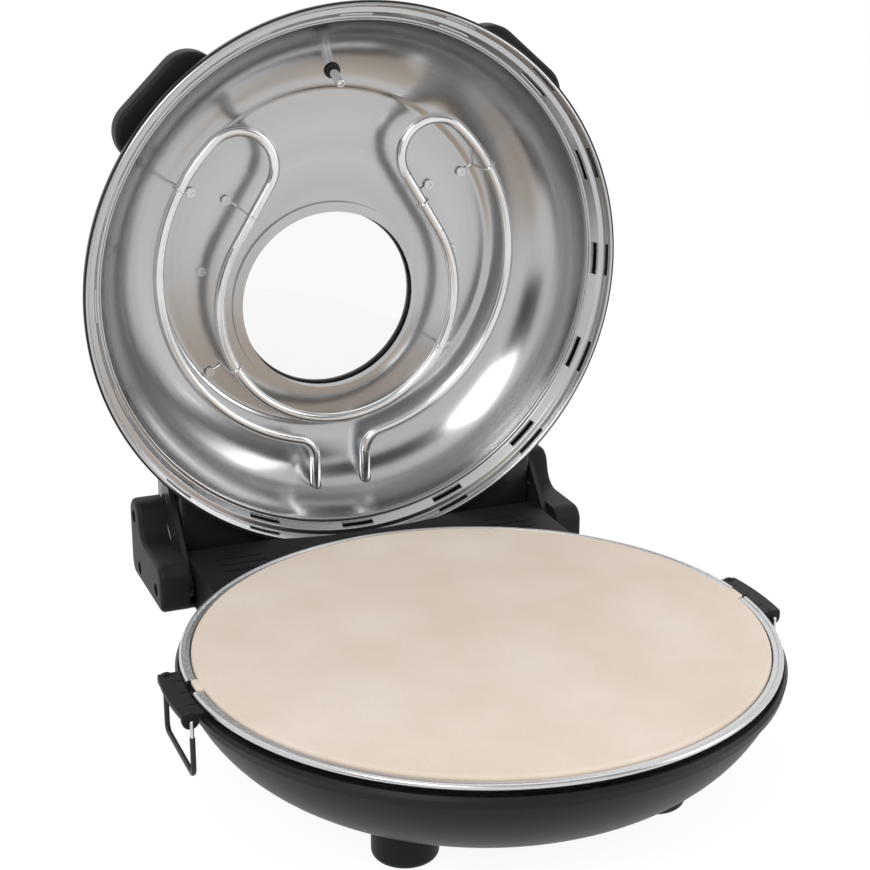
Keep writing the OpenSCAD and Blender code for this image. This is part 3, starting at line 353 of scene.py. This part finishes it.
# %% Black finishes
def black_paint(name, tone, rough, grain_scale, depth, coat=0.0, shine=0.3):
    finish, tree, shader = new_finish(name)
    grain = use_group(tree, surface_grain, Grain_Scale=grain_scale, Cloud_Scale=9)
    light = tuple(value * 1.35 + 0.002 for value in tone)
    tree.links.new(two_tones(tree, spread(tree, grain.outputs["Cloud"], 0, 1), tone, light),
                   shader.inputs["Base Color"])
    tree.links.new(spread(tree, grain.outputs["Scuff"], rough, rough + 0.07, 0, 1),
                   shader.inputs["Roughness"])
    add_bump(tree, shader, grain.outputs["Grain"], depth)
    shader.inputs["Specular IOR Level"].default_value = shine
    shader.inputs["Coat Weight"].default_value = coat
    shader.inputs["Coat Roughness"].default_value = 0.12
    return finish


finishes = {
    "black_enamel": black_paint("black_enamel", (0.010, 0.010, 0.011), 0.34, 1400, 0.00002),
    "black_bowl": black_paint("black_bowl", (0.010, 0.010, 0.011), 0.42, 1100, 0.00002,
                              shine=0.15),
    "black_plastic": black_paint("black_plastic", (0.008, 0.008, 0.009), 0.5, 2200, 0.00005,
                                 shine=0.16),
    "gloss_housing": black_paint("gloss_housing", (0.008, 0.008, 0.009), 0.26, 1800, 0.00001, 0.1),
    "dark_bakelite": black_paint("dark_bakelite", (0.040, 0.036, 0.036), 0.5, 1800, 0.00005),
    "rubber_part": black_paint("rubber_part", (0.018, 0.018, 0.018), 0.62, 2600, 0.00008),
    "bail_coat": black_paint("bail_coat", (0.015, 0.015, 0.016), 0.3, 1500, 0.00001),
    "dark_screw": black_paint("dark_screw", (0.040, 0.040, 0.042), 0.4, 2400, 0.00003),
}
print("black finishes:", len(finishes))

# %% Steel finishes
def spun_steel(name, tone, rough_low, rough_high, depth, centre, turn, lines=2600, wave=0.0):
    finish, tree, shader = new_finish(name)
    shader.inputs["Metallic"].default_value = 1
    ring = use_group(tree, spun_lines, Centre=centre, Turn=turn, Lines=lines)
    grain = use_group(tree, surface_grain, Grain_Scale=700, Cloud_Scale=7)
    dark = tuple(value * 0.86 for value in tone)
    tree.links.new(two_tones(tree, spread(tree, ring.outputs["Broad"], 0, 1), dark, tone),
                   shader.inputs["Base Color"])
    tree.links.new(spread(tree, ring.outputs["Line"], rough_low, rough_high),
                   shader.inputs["Roughness"])
    under = None
    if wave:
        under = add_bump(tree, shader, grain.outputs["Cloud"], wave)
    add_bump(tree, shader, ring.outputs["Line"], depth, under)
    return finish


row_y = -0.047466
hinge_y, hinge_z = 0.119034, 0.0575
lid_open = math.radians(88)
dome_centre = (0, 0.17, 0.225)
finishes["brushed_ring"] = spun_steel("brushed_ring", (0.60, 0.60, 0.61), 0.24, 0.30, 0.0000012,
                                      (0, row_y, 0), (0, 0, 0))
finishes["mirror_steel"] = spun_steel("mirror_steel", (0.50, 0.50, 0.505), 0.17, 0.25, 0.000003,
                                      dome_centre, (lid_open, 0, 0), wave=0.0006)


def plain_steel(name, tone, rough, depth, tint=None):
    finish, tree, shader = new_finish(name)
    shader.inputs["Metallic"].default_value = 1
    grain = use_group(tree, surface_grain, Grain_Scale=900, Cloud_Scale=26)
    second = tint or tuple(value * 0.8 for value in tone)
    tree.links.new(two_tones(tree, spread(tree, grain.outputs["Cloud"], 0, 1), tone, second),
                   shader.inputs["Base Color"])
    tree.links.new(spread(tree, grain.outputs["Grain"], rough, rough + 0.12),
                   shader.inputs["Roughness"])
    add_bump(tree, shader, grain.outputs["Grain"], depth)
    return finish


finishes["heater_tube"] = plain_steel("heater_tube", (0.78, 0.78, 0.785), 0.14, 0.000006)
finishes["dark_heater"] = plain_steel("dark_heater", (0.32, 0.29, 0.27), 0.3, 0.00001,
                                      tint=(0.22, 0.17, 0.15))
finishes["zinc"] = plain_steel("zinc", (0.66, 0.66, 0.665), 0.24, 0.00001)
print("steel finishes added:", len(finishes))

# %% Stone, ceramic and glass finishes
def fired_stone():
    finish, tree, shader = new_finish("baking_stone")
    grain = use_group(tree, surface_grain, Grain_Scale=900, Cloud_Scale=18)
    place = tree.nodes.new("ShaderNodeTexCoord")
    # Small dark spots from a Voronoi texture are painted shade: they stand for the shade inside the
    # stone's pits, which have no geometry.
    painted_pit_shade = tree.nodes.new("ShaderNodeTexVoronoi")
    painted_pit_shade.inputs["Scale"].default_value = 420
    tree.links.new(place.outputs["Object"], painted_pit_shade.inputs["Vector"])
    base = two_tones(tree, spread(tree, grain.outputs["Cloud"], 0, 1),
                     (0.78, 0.66, 0.55), (0.84, 0.74, 0.64))
    mix = tree.nodes.new("ShaderNodeMix")
    mix.data_type = "RGBA"
    tree.links.new(spread(tree, painted_pit_shade.outputs["Distance"], 0.3, 0, 0.05, 0.22), mix.inputs["Factor"])
    tree.links.new(base, mix.inputs["A"])
    mix.inputs["B"].default_value = (0.52, 0.40, 0.30, 1)
    tree.links.new(mix.outputs["Result"], shader.inputs["Base Color"])
    shader.inputs["Roughness"].default_value = 0.85
    shader.inputs["Specular IOR Level"].default_value = 0.3
    add_bump(tree, shader, grain.outputs["Grain"], 0.00012)
    return finish


def dry_ceramic():
    finish, tree, shader = new_finish("ceramic_part")
    grain = use_group(tree, surface_grain, Grain_Scale=1600, Cloud_Scale=40)
    tone = two_tones(tree, spread(tree, grain.outputs["Cloud"], 0, 1),
                     (0.80, 0.77, 0.70), (0.72, 0.69, 0.62))
    tree.links.new(tone, shader.inputs["Base Color"])
    shader.inputs["Roughness"].default_value = 0.7
    add_bump(tree, shader, grain.outputs["Grain"], 0.00004)
    return finish


def clear_pane():
    finish, tree, shader = new_finish("window_pane")
    grain = use_group(tree, surface_grain, Grain_Scale=300, Cloud_Scale=10)
    shader.inputs["Base Color"].default_value = (0.90, 0.91, 0.91, 1)
    shader.inputs["Transmission Weight"].default_value = 1
    shader.inputs["IOR"].default_value = 1.45
    tree.links.new(spread(tree, grain.outputs["Cloud"], 0.0, 0.03), shader.inputs["Roughness"])
    return finish


finishes["baking_stone"] = fired_stone()
finishes["ceramic_part"] = dry_ceramic()
finishes["window_pane"] = clear_pane()
print("finishes:", sorted(finishes))

# %% [markdown]
# ## Finishes on the CAD pieces
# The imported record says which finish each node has. The node's mesh stays as it is, and only the
# material in its slots is exchanged. The hinge plates and the lid's arms look black on the real
# object, so they get black finishes here, and so do the screws and pins that belong to them.

# %% Put the finishes on
def dress(piece, finish):
    if not piece.data.materials:
        piece.data.materials.append(finish)
    for slot in piece.material_slots:
        slot.material = finish


record_slots = {item["node"]: item["material_slot"] for item in frame["record"]["subparts"]}
for name, piece in frame["nodes"].items():
    dress(piece, finishes[record_slots[name]])
blackened = {"left_hinge_bracket": "black_enamel", "right_hinge_bracket": "black_enamel",
             "left_lid_arm": "black_enamel", "right_lid_arm": "black_enamel",
             "arm_screws": "dark_screw", "left_hinge_pin": "dark_screw",
             "right_hinge_pin": "dark_screw"}
for name, finish_name in blackened.items():
    dress(frame["nodes"][name], finishes[finish_name])
print("dressed:", len(record_slots))

# %% [markdown]
# ## Tools for drawing pieces
# Every new piece starts as a primitive and is shaped in edit mode. A turned piece is a line of
# points spun about an axis, as a sheet is spun over a former. A pressed or moulded piece is an
# outline that is filled and extruded. A bent wire is a line that becomes a curve with a round
# section. All places are in the CAD model's own frame, in millimetres. The lid is drawn closed and
# is then swung about the hinge, as the CAD model does it.

# %% Places and frames
row = Matrix.Translation((0, row_y, 0))
hinge = Vector((0, hinge_y, hinge_z))
swing = Matrix.Translation(hinge) @ Matrix.Rotation(-lid_open, 4, "X")
lid_frame = swing @ Matrix.Translation(-hinge) @ row

window_y = 26
dome_top = 136.5
shell_top = 147
heater_z = 117.5
tail_x = 16.5


def metres(*numbers):
    return tuple(number * 0.001 for number in numbers)


def polar(radius, degrees):
    angle = math.radians(degrees)
    return radius * math.cos(angle), radius * math.sin(angle)


def arc(centre, radius, start, end, steps):
    """Points in millimetres on an arc between two angles in degrees."""
    points = []
    for step in range(steps + 1):
        x, y = polar(radius, start + (end - start) * step / steps)
        points.append((centre[0] + x, centre[1] + y))
    return points


def rounded(corners, radii, steps=8):
    """An outline whose corners are cut back to arcs, as points in millimetres."""
    points = []
    for index, corner in enumerate(corners):
        here = Vector(corner)
        before = (Vector(corners[index - 1]) - here).normalized()
        after = (Vector(corners[(index + 1) % len(corners)]) - here).normalized()
        radius = radii[index]
        if radius == 0:
            points.append(tuple(here))
            continue
        half = before.angle(after) / 2
        centre = here + (before + after).normalized() * (radius / math.sin(half))
        first = here + before * (radius / math.tan(half)) - centre
        last = here + after * (radius / math.tan(half)) - centre
        turn = math.atan2(first.x * last.y - first.y * last.x, first.dot(last))
        for step in range(steps + 1):
            part = turn * step / steps
            x = first.x * math.cos(part) - first.y * math.sin(part)
            y = first.x * math.sin(part) + first.y * math.cos(part)
            points.append((centre.x + x, centre.y + y))
    return points


print("lid frame:", [round(value, 4) for value in lid_frame.translation])

# %% Drawing with edit mode
def draw_line(name, places, fill=False):
    """A new mesh object in edit mode: one point, extruded from place to place."""
    bpy.ops.object.select_all(action="DESELECT")
    bpy.ops.mesh.primitive_plane_add(size=0.001)
    piece = bpy.context.object
    piece.name = name
    piece.data.name = name
    bpy.ops.object.mode_set(mode="EDIT")
    bpy.ops.mesh.select_mode(type="VERT")
    bpy.ops.mesh.select_all(action="SELECT")
    bpy.ops.mesh.merge(type="CENTER")
    bpy.ops.transform.translate(value=places[0])
    for before, after in zip(places, places[1:]):
        step = tuple(b - a for a, b in zip(before, after))
        bpy.ops.mesh.extrude_region_move(TRANSFORM_OT_translate={"value": step})
    bpy.ops.mesh.select_all(action="SELECT")
    if fill:
        bpy.ops.mesh.edge_face_add()
    return piece


def tidy_normals():
    bpy.ops.mesh.select_all(action="SELECT")
    bpy.ops.mesh.remove_doubles(threshold=0.000002)
    bpy.ops.mesh.normals_make_consistent(inside=False)


def turned(name, outline, steps=128, closed=False):
    """Spins an outline of (radius, height) points in millimetres about the upright axis."""
    line = outline + [outline[0]] if closed else outline
    piece = draw_line(name, [metres(radius, 0, height) for radius, height in line])
    bpy.ops.mesh.spin(steps=steps, angle=math.tau, center=(0, 0, 0), axis=(0, 0, 1))
    tidy_normals()
    bpy.ops.object.mode_set(mode="OBJECT")
    return piece


def pushed(name, places, depth):
    """Fills an outline and extrudes it along a vector; the far face stays selected."""
    piece = draw_line(name, places, fill=True)
    bpy.ops.mesh.extrude_region_move(TRANSFORM_OT_translate={"value": depth})
    return piece


def bent_wire(name, places, radius, sides=3):
    """A round wire that follows a line of places in metres."""
    wire = draw_line(name, places)
    bpy.ops.object.mode_set(mode="OBJECT")
    bpy.ops.object.convert(target="CURVE")
    wire = bpy.context.object
    wire.data.bevel_depth = radius
    wire.data.bevel_resolution = sides
    wire.data.use_fill_caps = True
    bpy.ops.object.convert(target="MESH")
    return bpy.context.object


def pick(piece):
    bpy.ops.object.select_all(action="DESELECT")
    piece.select_set(True)
    bpy.context.view_layer.objects.active = piece


def place(piece, matrix):
    """Moves a piece into its frame and bakes the move, so the object stays at the origin."""
    pick(piece)
    piece.matrix_world = matrix
    bpy.ops.object.transform_apply(location=True, rotation=True, scale=True)


def cut(piece, tool):
    """Takes the tool's form out of the piece and deletes the tool."""
    pick(piece)
    bpy.ops.object.modifier_add(type="BOOLEAN")
    modifier = piece.modifiers[-1]
    modifier.object = tool
    modifier.operation = "DIFFERENCE"
    modifier.solver = "EXACT"
    bpy.ops.object.modifier_apply(modifier=modifier.name)
    pick(tool)
    bpy.ops.object.delete()


def rod(place_mm, radius, length, turn=(0, 0, 0), vertices=48):
    """A short cylinder used as a cutting tool, by the middle of its axis."""
    bpy.ops.object.select_all(action="DESELECT")
    bpy.ops.mesh.primitive_cylinder_add(vertices=vertices, radius=radius * 0.001,
                                        depth=length * 0.001, location=metres(*place_mm),
                                        rotation=turn)
    return bpy.context.object


def thicken(piece, thickness, offset):
    """Gives a sheet its thickness in metres, outwards (1) or inwards (-1)."""
    pick(piece)
    bpy.ops.object.modifier_add(type="SOLIDIFY")
    piece.modifiers[-1].thickness = thickness
    piece.modifiers[-1].offset = offset
    bpy.ops.object.modifier_apply(modifier=piece.modifiers[-1].name)


def soften(piece, width, steepest=30):
    """Bevels the edges that bend by more than an angle in degrees."""
    pick(piece)
    bpy.ops.object.modifier_add(type="BEVEL")
    piece.modifiers[-1].width = width
    piece.modifiers[-1].segments = 2
    piece.modifiers[-1].limit_method = "ANGLE"
    piece.modifiers[-1].angle_limit = math.radians(steepest)
    bpy.ops.object.modifier_apply(modifier=piece.modifiers[-1].name)


def round_sharp_edges(radius, segments):
    """Rounds the sharp edges of the mesh in edit mode, and goes back to object mode."""
    bpy.ops.mesh.select_mode(type="EDGE")
    tidy_normals()
    bpy.ops.mesh.select_all(action="DESELECT")
    bpy.ops.mesh.edges_select_sharp(sharpness=math.radians(70))
    bpy.ops.mesh.bevel(offset=radius, segments=segments, affect="EDGES", profile=0.5)
    bpy.ops.object.mode_set(mode="OBJECT")


def copied(piece, name):
    """A copy of a piece with a mesh of its own."""
    pick(piece)
    bpy.ops.object.duplicate(linked=False)
    copy = bpy.context.object
    copy.name = name
    copy.data.name = name
    return copy


def joined(pieces):
    """Makes one object of several."""
    pick(pieces[0])
    for piece in pieces:
        piece.select_set(True)
    bpy.ops.object.join()
    return bpy.context.object


def settle(piece, body, slot, *nodes, smooth=35):
    """Smooth shading, the finish, the body it rides on and the CAD nodes it stands for."""
    pick(piece)
    bpy.ops.object.shade_smooth_by_angle(angle=math.radians(smooth))
    piece.data.materials.clear()
    piece.data.materials.append(finishes[slot])
    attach(piece, body)
    if nodes:
        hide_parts(*nodes)
    bpy.ops.object.select_all(action="DESELECT")
    print(piece.name, "faces:", len(piece.data.polygons), "stands for", nodes)


# %% [markdown]
# ## The baking stone
# The stone is pressed and fired clay. Its edges come out of the mould round, and its top lies almost
# level with the steel ring, so the ring shows all round it. The disc is turned from its outline.
# The two lifting lugs are small blocks with round edges that grow out of its side.

# %% Turn the stone and its lugs
stone_line = ([(0, 68), (149.9, 68)] + arc((150.4, 69.3), 1.3, -90, 0, 4)
              + arc((149.5, 75.8), 2.2, 0, 90, 6) + [(0, 78)])
stone = turned("fired_disc", stone_line, 192)
lug_low, lug_thickness = 75.1, 1.9
lug_line = rounded([(149, -6.1), (155.6, -6.1), (155.6, 6.1), (149, 6.1)], [0.2, 1.6, 1.6, 0.2], 4)
for side in (-1, 1):
    lug = pushed("lug", [metres(side * x, y, lug_low) for x, y in lug_line],
                 metres(0, 0, lug_thickness))
    tidy_normals()
    bpy.ops.object.mode_set(mode="OBJECT")
    soften(lug, 0.0005)
    stone = joined([stone, lug])
place(stone, row)
settle(stone, "stone", "baking_stone", "pizza_stone", smooth=40)

# %% [markdown]
# ## The polished dome
# The dome inside the lid is spun from thin steel sheet over a wooden former: a flat top, a soft
# raised ring where the flat ends, one wide round shoulder and a narrow flange. Polished steel
# shows every corner, so the ring's two bends are drawn as soft curves. The sheet gets its 0.7 mm
# outwards, then the window, the two heater tails and the probe are cut out as a punch would do.

# %% Spin the dome
dome_line = ([(155, 88.6), (153.4, 88.6), (152.6, 88.9)]
             + arc((100, 82.8), 52.5, 8.2, 80, 30)
             + [(108.0, 134.72), (107.1, 134.95), (106.3, 135.32), (105.6, 135.78),
                (104.8, 136.16), (103.8, 136.4), (102.6, dome_top), (101, dome_top), (0, dome_top)])
dome = turned("polished_dome", dome_line, 192)
thicken(dome, 0.0007, 1)
print("dome top at", round(max(point.co.z for point in dome.data.vertices) * 1000, 2), "mm")

# %% Punch the dome's openings
window_hole, tail_hole, probe_hole = 57.6, 3.75, 3.7
cut(dome, rod((0, window_y, 136), window_hole, 12, vertices=160))
for side in (-1, 1):
    cut(dome, rod((side * tail_x, 139, heater_z), tail_hole, 30, (math.radians(90), 0, 0)))
probe_place = (1.5, -116, 132.803)
probe_lean = 17.74
probe_frame = (Matrix.Translation(metres(*probe_place))
               @ Matrix.Rotation(math.radians(180 + probe_lean), 4, "X"))
probe_tool = rod((0, 0, 0), probe_hole, 12)
probe_tool.matrix_world = probe_frame
cut(dome, probe_tool)
place(dome, lid_frame)
settle(dome, "lid", "mirror_steel", "lid_inner_dome", smooth=30)

# %% [markdown]
# ## The heater's clips
# Each clip is a springy wire. It hooks round the tube, climbs to the dome, and ends in an eye
# under a small screw. One clip is bent, and its copies go to their six places; a mirror image isn't
# needed, because the wire lies nearly in one plane.

# %% Bend one clip
hook = [(x, 0, z) for x, z in arc((0, 0), 3.95, 150, 352, 16)]
eye_z = 17.85
stem = [(4.0, 0, 2), (4.05, 0, 14.6), (4.3, 0, 16.6), (5.4, 0, 17.7), (7.2, 0, eye_z), (9.6, 0, eye_z)]
eye = [(12.8 + x, y, eye_z) for x, y in arc((0, 0), 2.3, 180, 500, 18)]
wire_radius = 0.0006
clip_path = [metres(*point) for point in hook + stem + eye]
clip_places = []
for x, y, turn in [(97.0447, -54.9052, 150.5), (53.6636, -35.5063, -31.1109), (66.2628, 57.4778, 28.5)]:
    clip_places.append((x, y, turn))
    clip_places.append((-x, y, 180 - turn))
first_clip = bent_wire("first_clip", clip_path, wire_radius)
clips = [first_clip]
for index in range(1, len(clip_places)):
    clips.append(copied(first_clip, "clip_" + str(index)))
for clip, (x, y, turn) in zip(clips, clip_places):
    place(clip, lid_frame @ Matrix.Translation(metres(x, y, heater_z))
          @ Matrix.Rotation(math.radians(turn), 4, "Z"))
clip_wires = joined(clips)
clip_wires.name = "clip_wires"
settle(clip_wires, "lid", "heater_tube", "element_clips", smooth=60)

# %% [markdown]
# ## The bushings behind the dome
# Each tail of the heater leaves the dome through a short ceramic tube. Seen from the front only the
# dark mouth of its hole shows, so the tubes sit behind the sheet. They are turned on their own
# axis and then laid along the tail.

# %% Turn the bushings
bushing_line = [(3.32, 0), (4.6, 0), (4.9, 0.3), (4.9, 6.2), (4.6, 6.5), (3.32, 6.5)]
bushing = turned("left_bushing", bushing_line, 48, closed=True)
along_tail = (Matrix.Translation(metres(-tail_x, 144.6, heater_z))
              @ Matrix.Rotation(math.radians(-90), 4, "X"))
place(bushing, lid_frame @ along_tail)
settle(bushing, "lid", "ceramic_part", "upper_element_bushings", smooth=50)
other_bushing = copied(bushing, "right_bushing")
across = lid_frame @ Matrix.Translation(metres(2 * tail_x, 0, 0)) @ lid_frame.inverted()
place(other_bushing, across)
settle(other_bushing, "lid", "ceramic_part", "upper_element_bushings", smooth=50)

# %% [markdown]
# ## The temperature probe
# The probe is a steel tube with a rolled end, pushed through a rubber grommet in the dome's wall.
# Both are turned on their own axis and then put square to the wall, and so is the thermostat's
# disc, which sits on the tube's outer end.

# %% Turn the probe and its grommet
probe_line = [(0, -6), (2.7, -6), (2.7, 16.6), (2.6, 17.1), (2.3, 17.42), (1.95, 17.5),
              (1.65, 17.4), (1.5, 17.1), (1.45, 16.2), (1.3, 15.6), (0.6, 15.3), (0, 15.3)]
probe = turned("probe_tube", probe_line, 48)
place(probe, lid_frame @ probe_frame)
settle(probe, "lid", "heater_tube", "temperature_probe", smooth=40)
grommet_line = [(2.76, -2.5), (4.3, -2.6), (4.75, -2.2), (4.8, -1.6), (4.6, -1.15), (3.55, -0.9),
                (3.55, 0.2), (4.5, 0.35), (4.8, 0.75), (4.75, 1.3), (4.35, 1.75), (3.6, 1.95),
                (3.0, 1.85), (2.76, 1.5)]
grommet = turned("probe_collar", grommet_line, 48, closed=True)
place(grommet, lid_frame @ probe_frame)
settle(grommet, "lid", "rubber_part", "probe_grommet", smooth=60)

thermostat_line = [(2.76, -6.9), (7.6, -6.9), (8, -6.5), (8, -3.3), (7.6, -2.9), (2.76, -2.9)]
thermostat = turned("probe_thermostat", thermostat_line, 48, closed=True)
place(thermostat, lid_frame @ probe_frame)
settle(thermostat, "lid", "dark_bakelite", "lid_thermostat", smooth=30)

# %% [markdown]
# ## The outer shell
# The painted shell is pressed from sheet: an upright hem, a flank that leans in, and a round
# shoulder up to the flat top with the window. It is spun as one line, gets its thickness inwards,
# and the window is punched.

# %% Press the shell
shell_edge = ([(164.2, 75.6), (164.2, 77.8), (164.0, 78.9), (163.55, 79.8)]
              + arc((97.788, 97), 50, 28, 90, 20))
shell = turned("lid_shell", shell_edge + [(0, shell_top)], 192)
thicken(shell, 0.0009, -1)
bezel_hole = 57.2
cut(shell, rod((0, window_y, shell_top), bezel_hole, 12, vertices=160))
place(shell, lid_frame)
settle(shell, "lid", "black_enamel", "lid_outer_shell", smooth=25)

# %% [markdown]
# ## The polished rim
# The rim is rolled steel in steps: a bead at the mouth, a leaning wall, a narrow shelf, a second
# leaning wall and a bead where it holds the dome. Both walls have a row of slots that let steam
# out. The section is spun, its bends are softened, and the slots are punched with one set of tools.

# %% Roll the rim
rim_line = (arc((162.25, 75.5), 0.9, 60, -246, 12)
            + [(160, 81.6), (157, 81.6), (154.2, 87.8)]
            + arc((152.3, 87.9), 0.6, -10, -240, 12)
            + [(152.5, 88.6), (155, 88.6), (155, 87.8), (157.8, 82.4), (160.8, 82.4)])
rim = turned("polished_rim", rim_line, 192, closed=True)
soften(rim, 0.0003, 35)
slots_around = 16
slot_rows = ((162, 78.95), (155, 84.7))
slot_depth, slot_length, slot_height = 7.5, 20, 2.6
punches = []
for index in range(slots_around):
    angle = index * 360 / slots_around
    for radius, height in slot_rows:
        x, y = polar(radius, angle)
        bpy.ops.object.select_all(action="DESELECT")
        bpy.ops.mesh.primitive_cube_add(size=0.001, location=metres(x, y, height),
                                        rotation=(0, 0, math.radians(angle)))
        punch = bpy.context.object
        punch.scale = (slot_depth, slot_length, slot_height)
        bpy.ops.object.transform_apply(location=True, rotation=True, scale=True)
        punches.append(punch)
cut(rim, joined(punches))
place(rim, lid_frame)
settle(rim, "lid", "mirror_steel", "lid_rim", smooth=35)

# %% [markdown]
# ## The lid's hinge housing
# Behind the lid a long moulded housing joins the two arms. Its section is filled and pushed
# sideways, and the shell's own form then cuts the front, so the two meet along one line.

# %% Mould the hinge housing
gap = 0.1
form = turned("form", [(0, 70), (164.35, 70)] + [(r + gap, z + gap) for r, z in shell_edge[1:]]
              + [(0, shell_top + gap)], 192)
half_width = 113
housing_line = rounded([(60, 79.6), (176, 79.6), (176, 111.6), (152, 135.6), (60, 135.6)],
                       [0, 4, 8, 8, 0], 8)
housing = pushed("lid_back_housing", [metres(-half_width, y, z) for y, z in housing_line],
                 metres(2 * half_width, 0, 0))
round_sharp_edges(0.0016, 4)
cut(housing, form)
place(housing, lid_frame)
settle(housing, "lid", "gloss_housing", "lid_hinge_housing", smooth=35)

# %% [markdown]
# ## The lid's grips
# A grip is a moulded pad with two wide round corners and soft edges, shaped at the back to the
# leaning flank of the shell. The outline is filled, pushed up 14 mm and beveled; a cone with the
# flank's lean then cuts the back.

# %% Mould a grip
def grip(name, angle, *nodes):
    outline = rounded([(126, -36.5), (170, -36.5), (170, 36.5), (126, 36.5)], [0, 18.5, 18.5, 0], 14)
    piece = pushed(name, [metres(x, y, 90) for x, y in outline], metres(0, 0, 14))
    round_sharp_edges(0.0026, 5)
    bpy.ops.mesh.primitive_cone_add(vertices=256, radius1=metres(160.89)[0],
                                    radius2=metres(147.6)[0], depth=0.025,
                                    location=metres(0, 0, 97.5))
    cut(piece, bpy.context.object)
    place(piece, lid_frame @ Matrix.Rotation(math.radians(angle - 90), 4, "Z"))
    settle(piece, "lid", "black_plastic", *nodes, smooth=40)
    return piece


left_grip = grip("left_grip", -45, "left_lid_handle", "handle_screws")
right_grip = grip("right_grip", 41, "right_lid_handle")

# %% [markdown]
# ## The hinge covers
# Each cover is a moulded cap with a low toe and a high round knob. The outer edge is a wide soft
# curve. The cap is hollow towards the bowl, to take the hinge plate, and its two screws sit in
# deep cups.

# %% Mould a hinge cover
def hinge_cap(name, side, node):
    corners = [(154, 46.5), (154, 75), (200, 75), (206, 96.5), (227, 96.5), (227, 46.5)]
    outline = rounded(corners, [4.6, 9, 12.4, 9.2, 10.5, 9], 10)
    piece = pushed(name, [metres(117.6, y, z) for y, z in outline], metres(17, 0, 0))
    bpy.ops.mesh.select_mode(type="FACE")
    bpy.ops.mesh.region_to_loop()
    bpy.ops.mesh.bevel(offset=0.003, segments=6, affect="EDGES", profile=0.5)
    tidy_normals()
    bpy.ops.object.mode_set(mode="OBJECT")
    inner = rounded([(156.4, 48.9), (156.4, 72.6), (202.4, 72.6), (209.4, 94.1), (224.6, 94.1),
                     (224.6, 48.9)], [1, 7, 14, 8, 8, 7], 10)
    hollow = pushed("hollow", [metres(116, y, z) for y, z in inner], metres(15.6, 0, 0))
    tidy_normals()
    bpy.ops.object.mode_set(mode="OBJECT")
    lying = (0, math.radians(90), 0)
    screw_places = ((207, 55.5), (216, 85.5))
    pin_place = (126, 166.5, 57.5)
    for y, z in screw_places:
        cut(hollow, rod((128.05, y, z), 5.0, 14, lying))
        cut(piece, rod((133.1, y, z), 3.9, 5.0, lying))
        cut(piece, rod((126, y, z), 2.05, 20, lying))
    cut(piece, rod(pin_place, 4.05, 20, lying))
    cut(piece, hollow)
    place(piece, row @ Matrix.Scale(side, 4, (1, 0, 0)))
    if side < 0:
        bpy.ops.object.mode_set(mode="EDIT")
        tidy_normals()
        bpy.ops.object.mode_set(mode="OBJECT")
    settle(piece, "base", "black_plastic", node, smooth=40)
    return piece


left_cap = hinge_cap("left_hinge_cap", -1, "left_hinge_cover")
right_cap = hinge_cap("right_hinge_cap", 1, "right_hinge_cover")
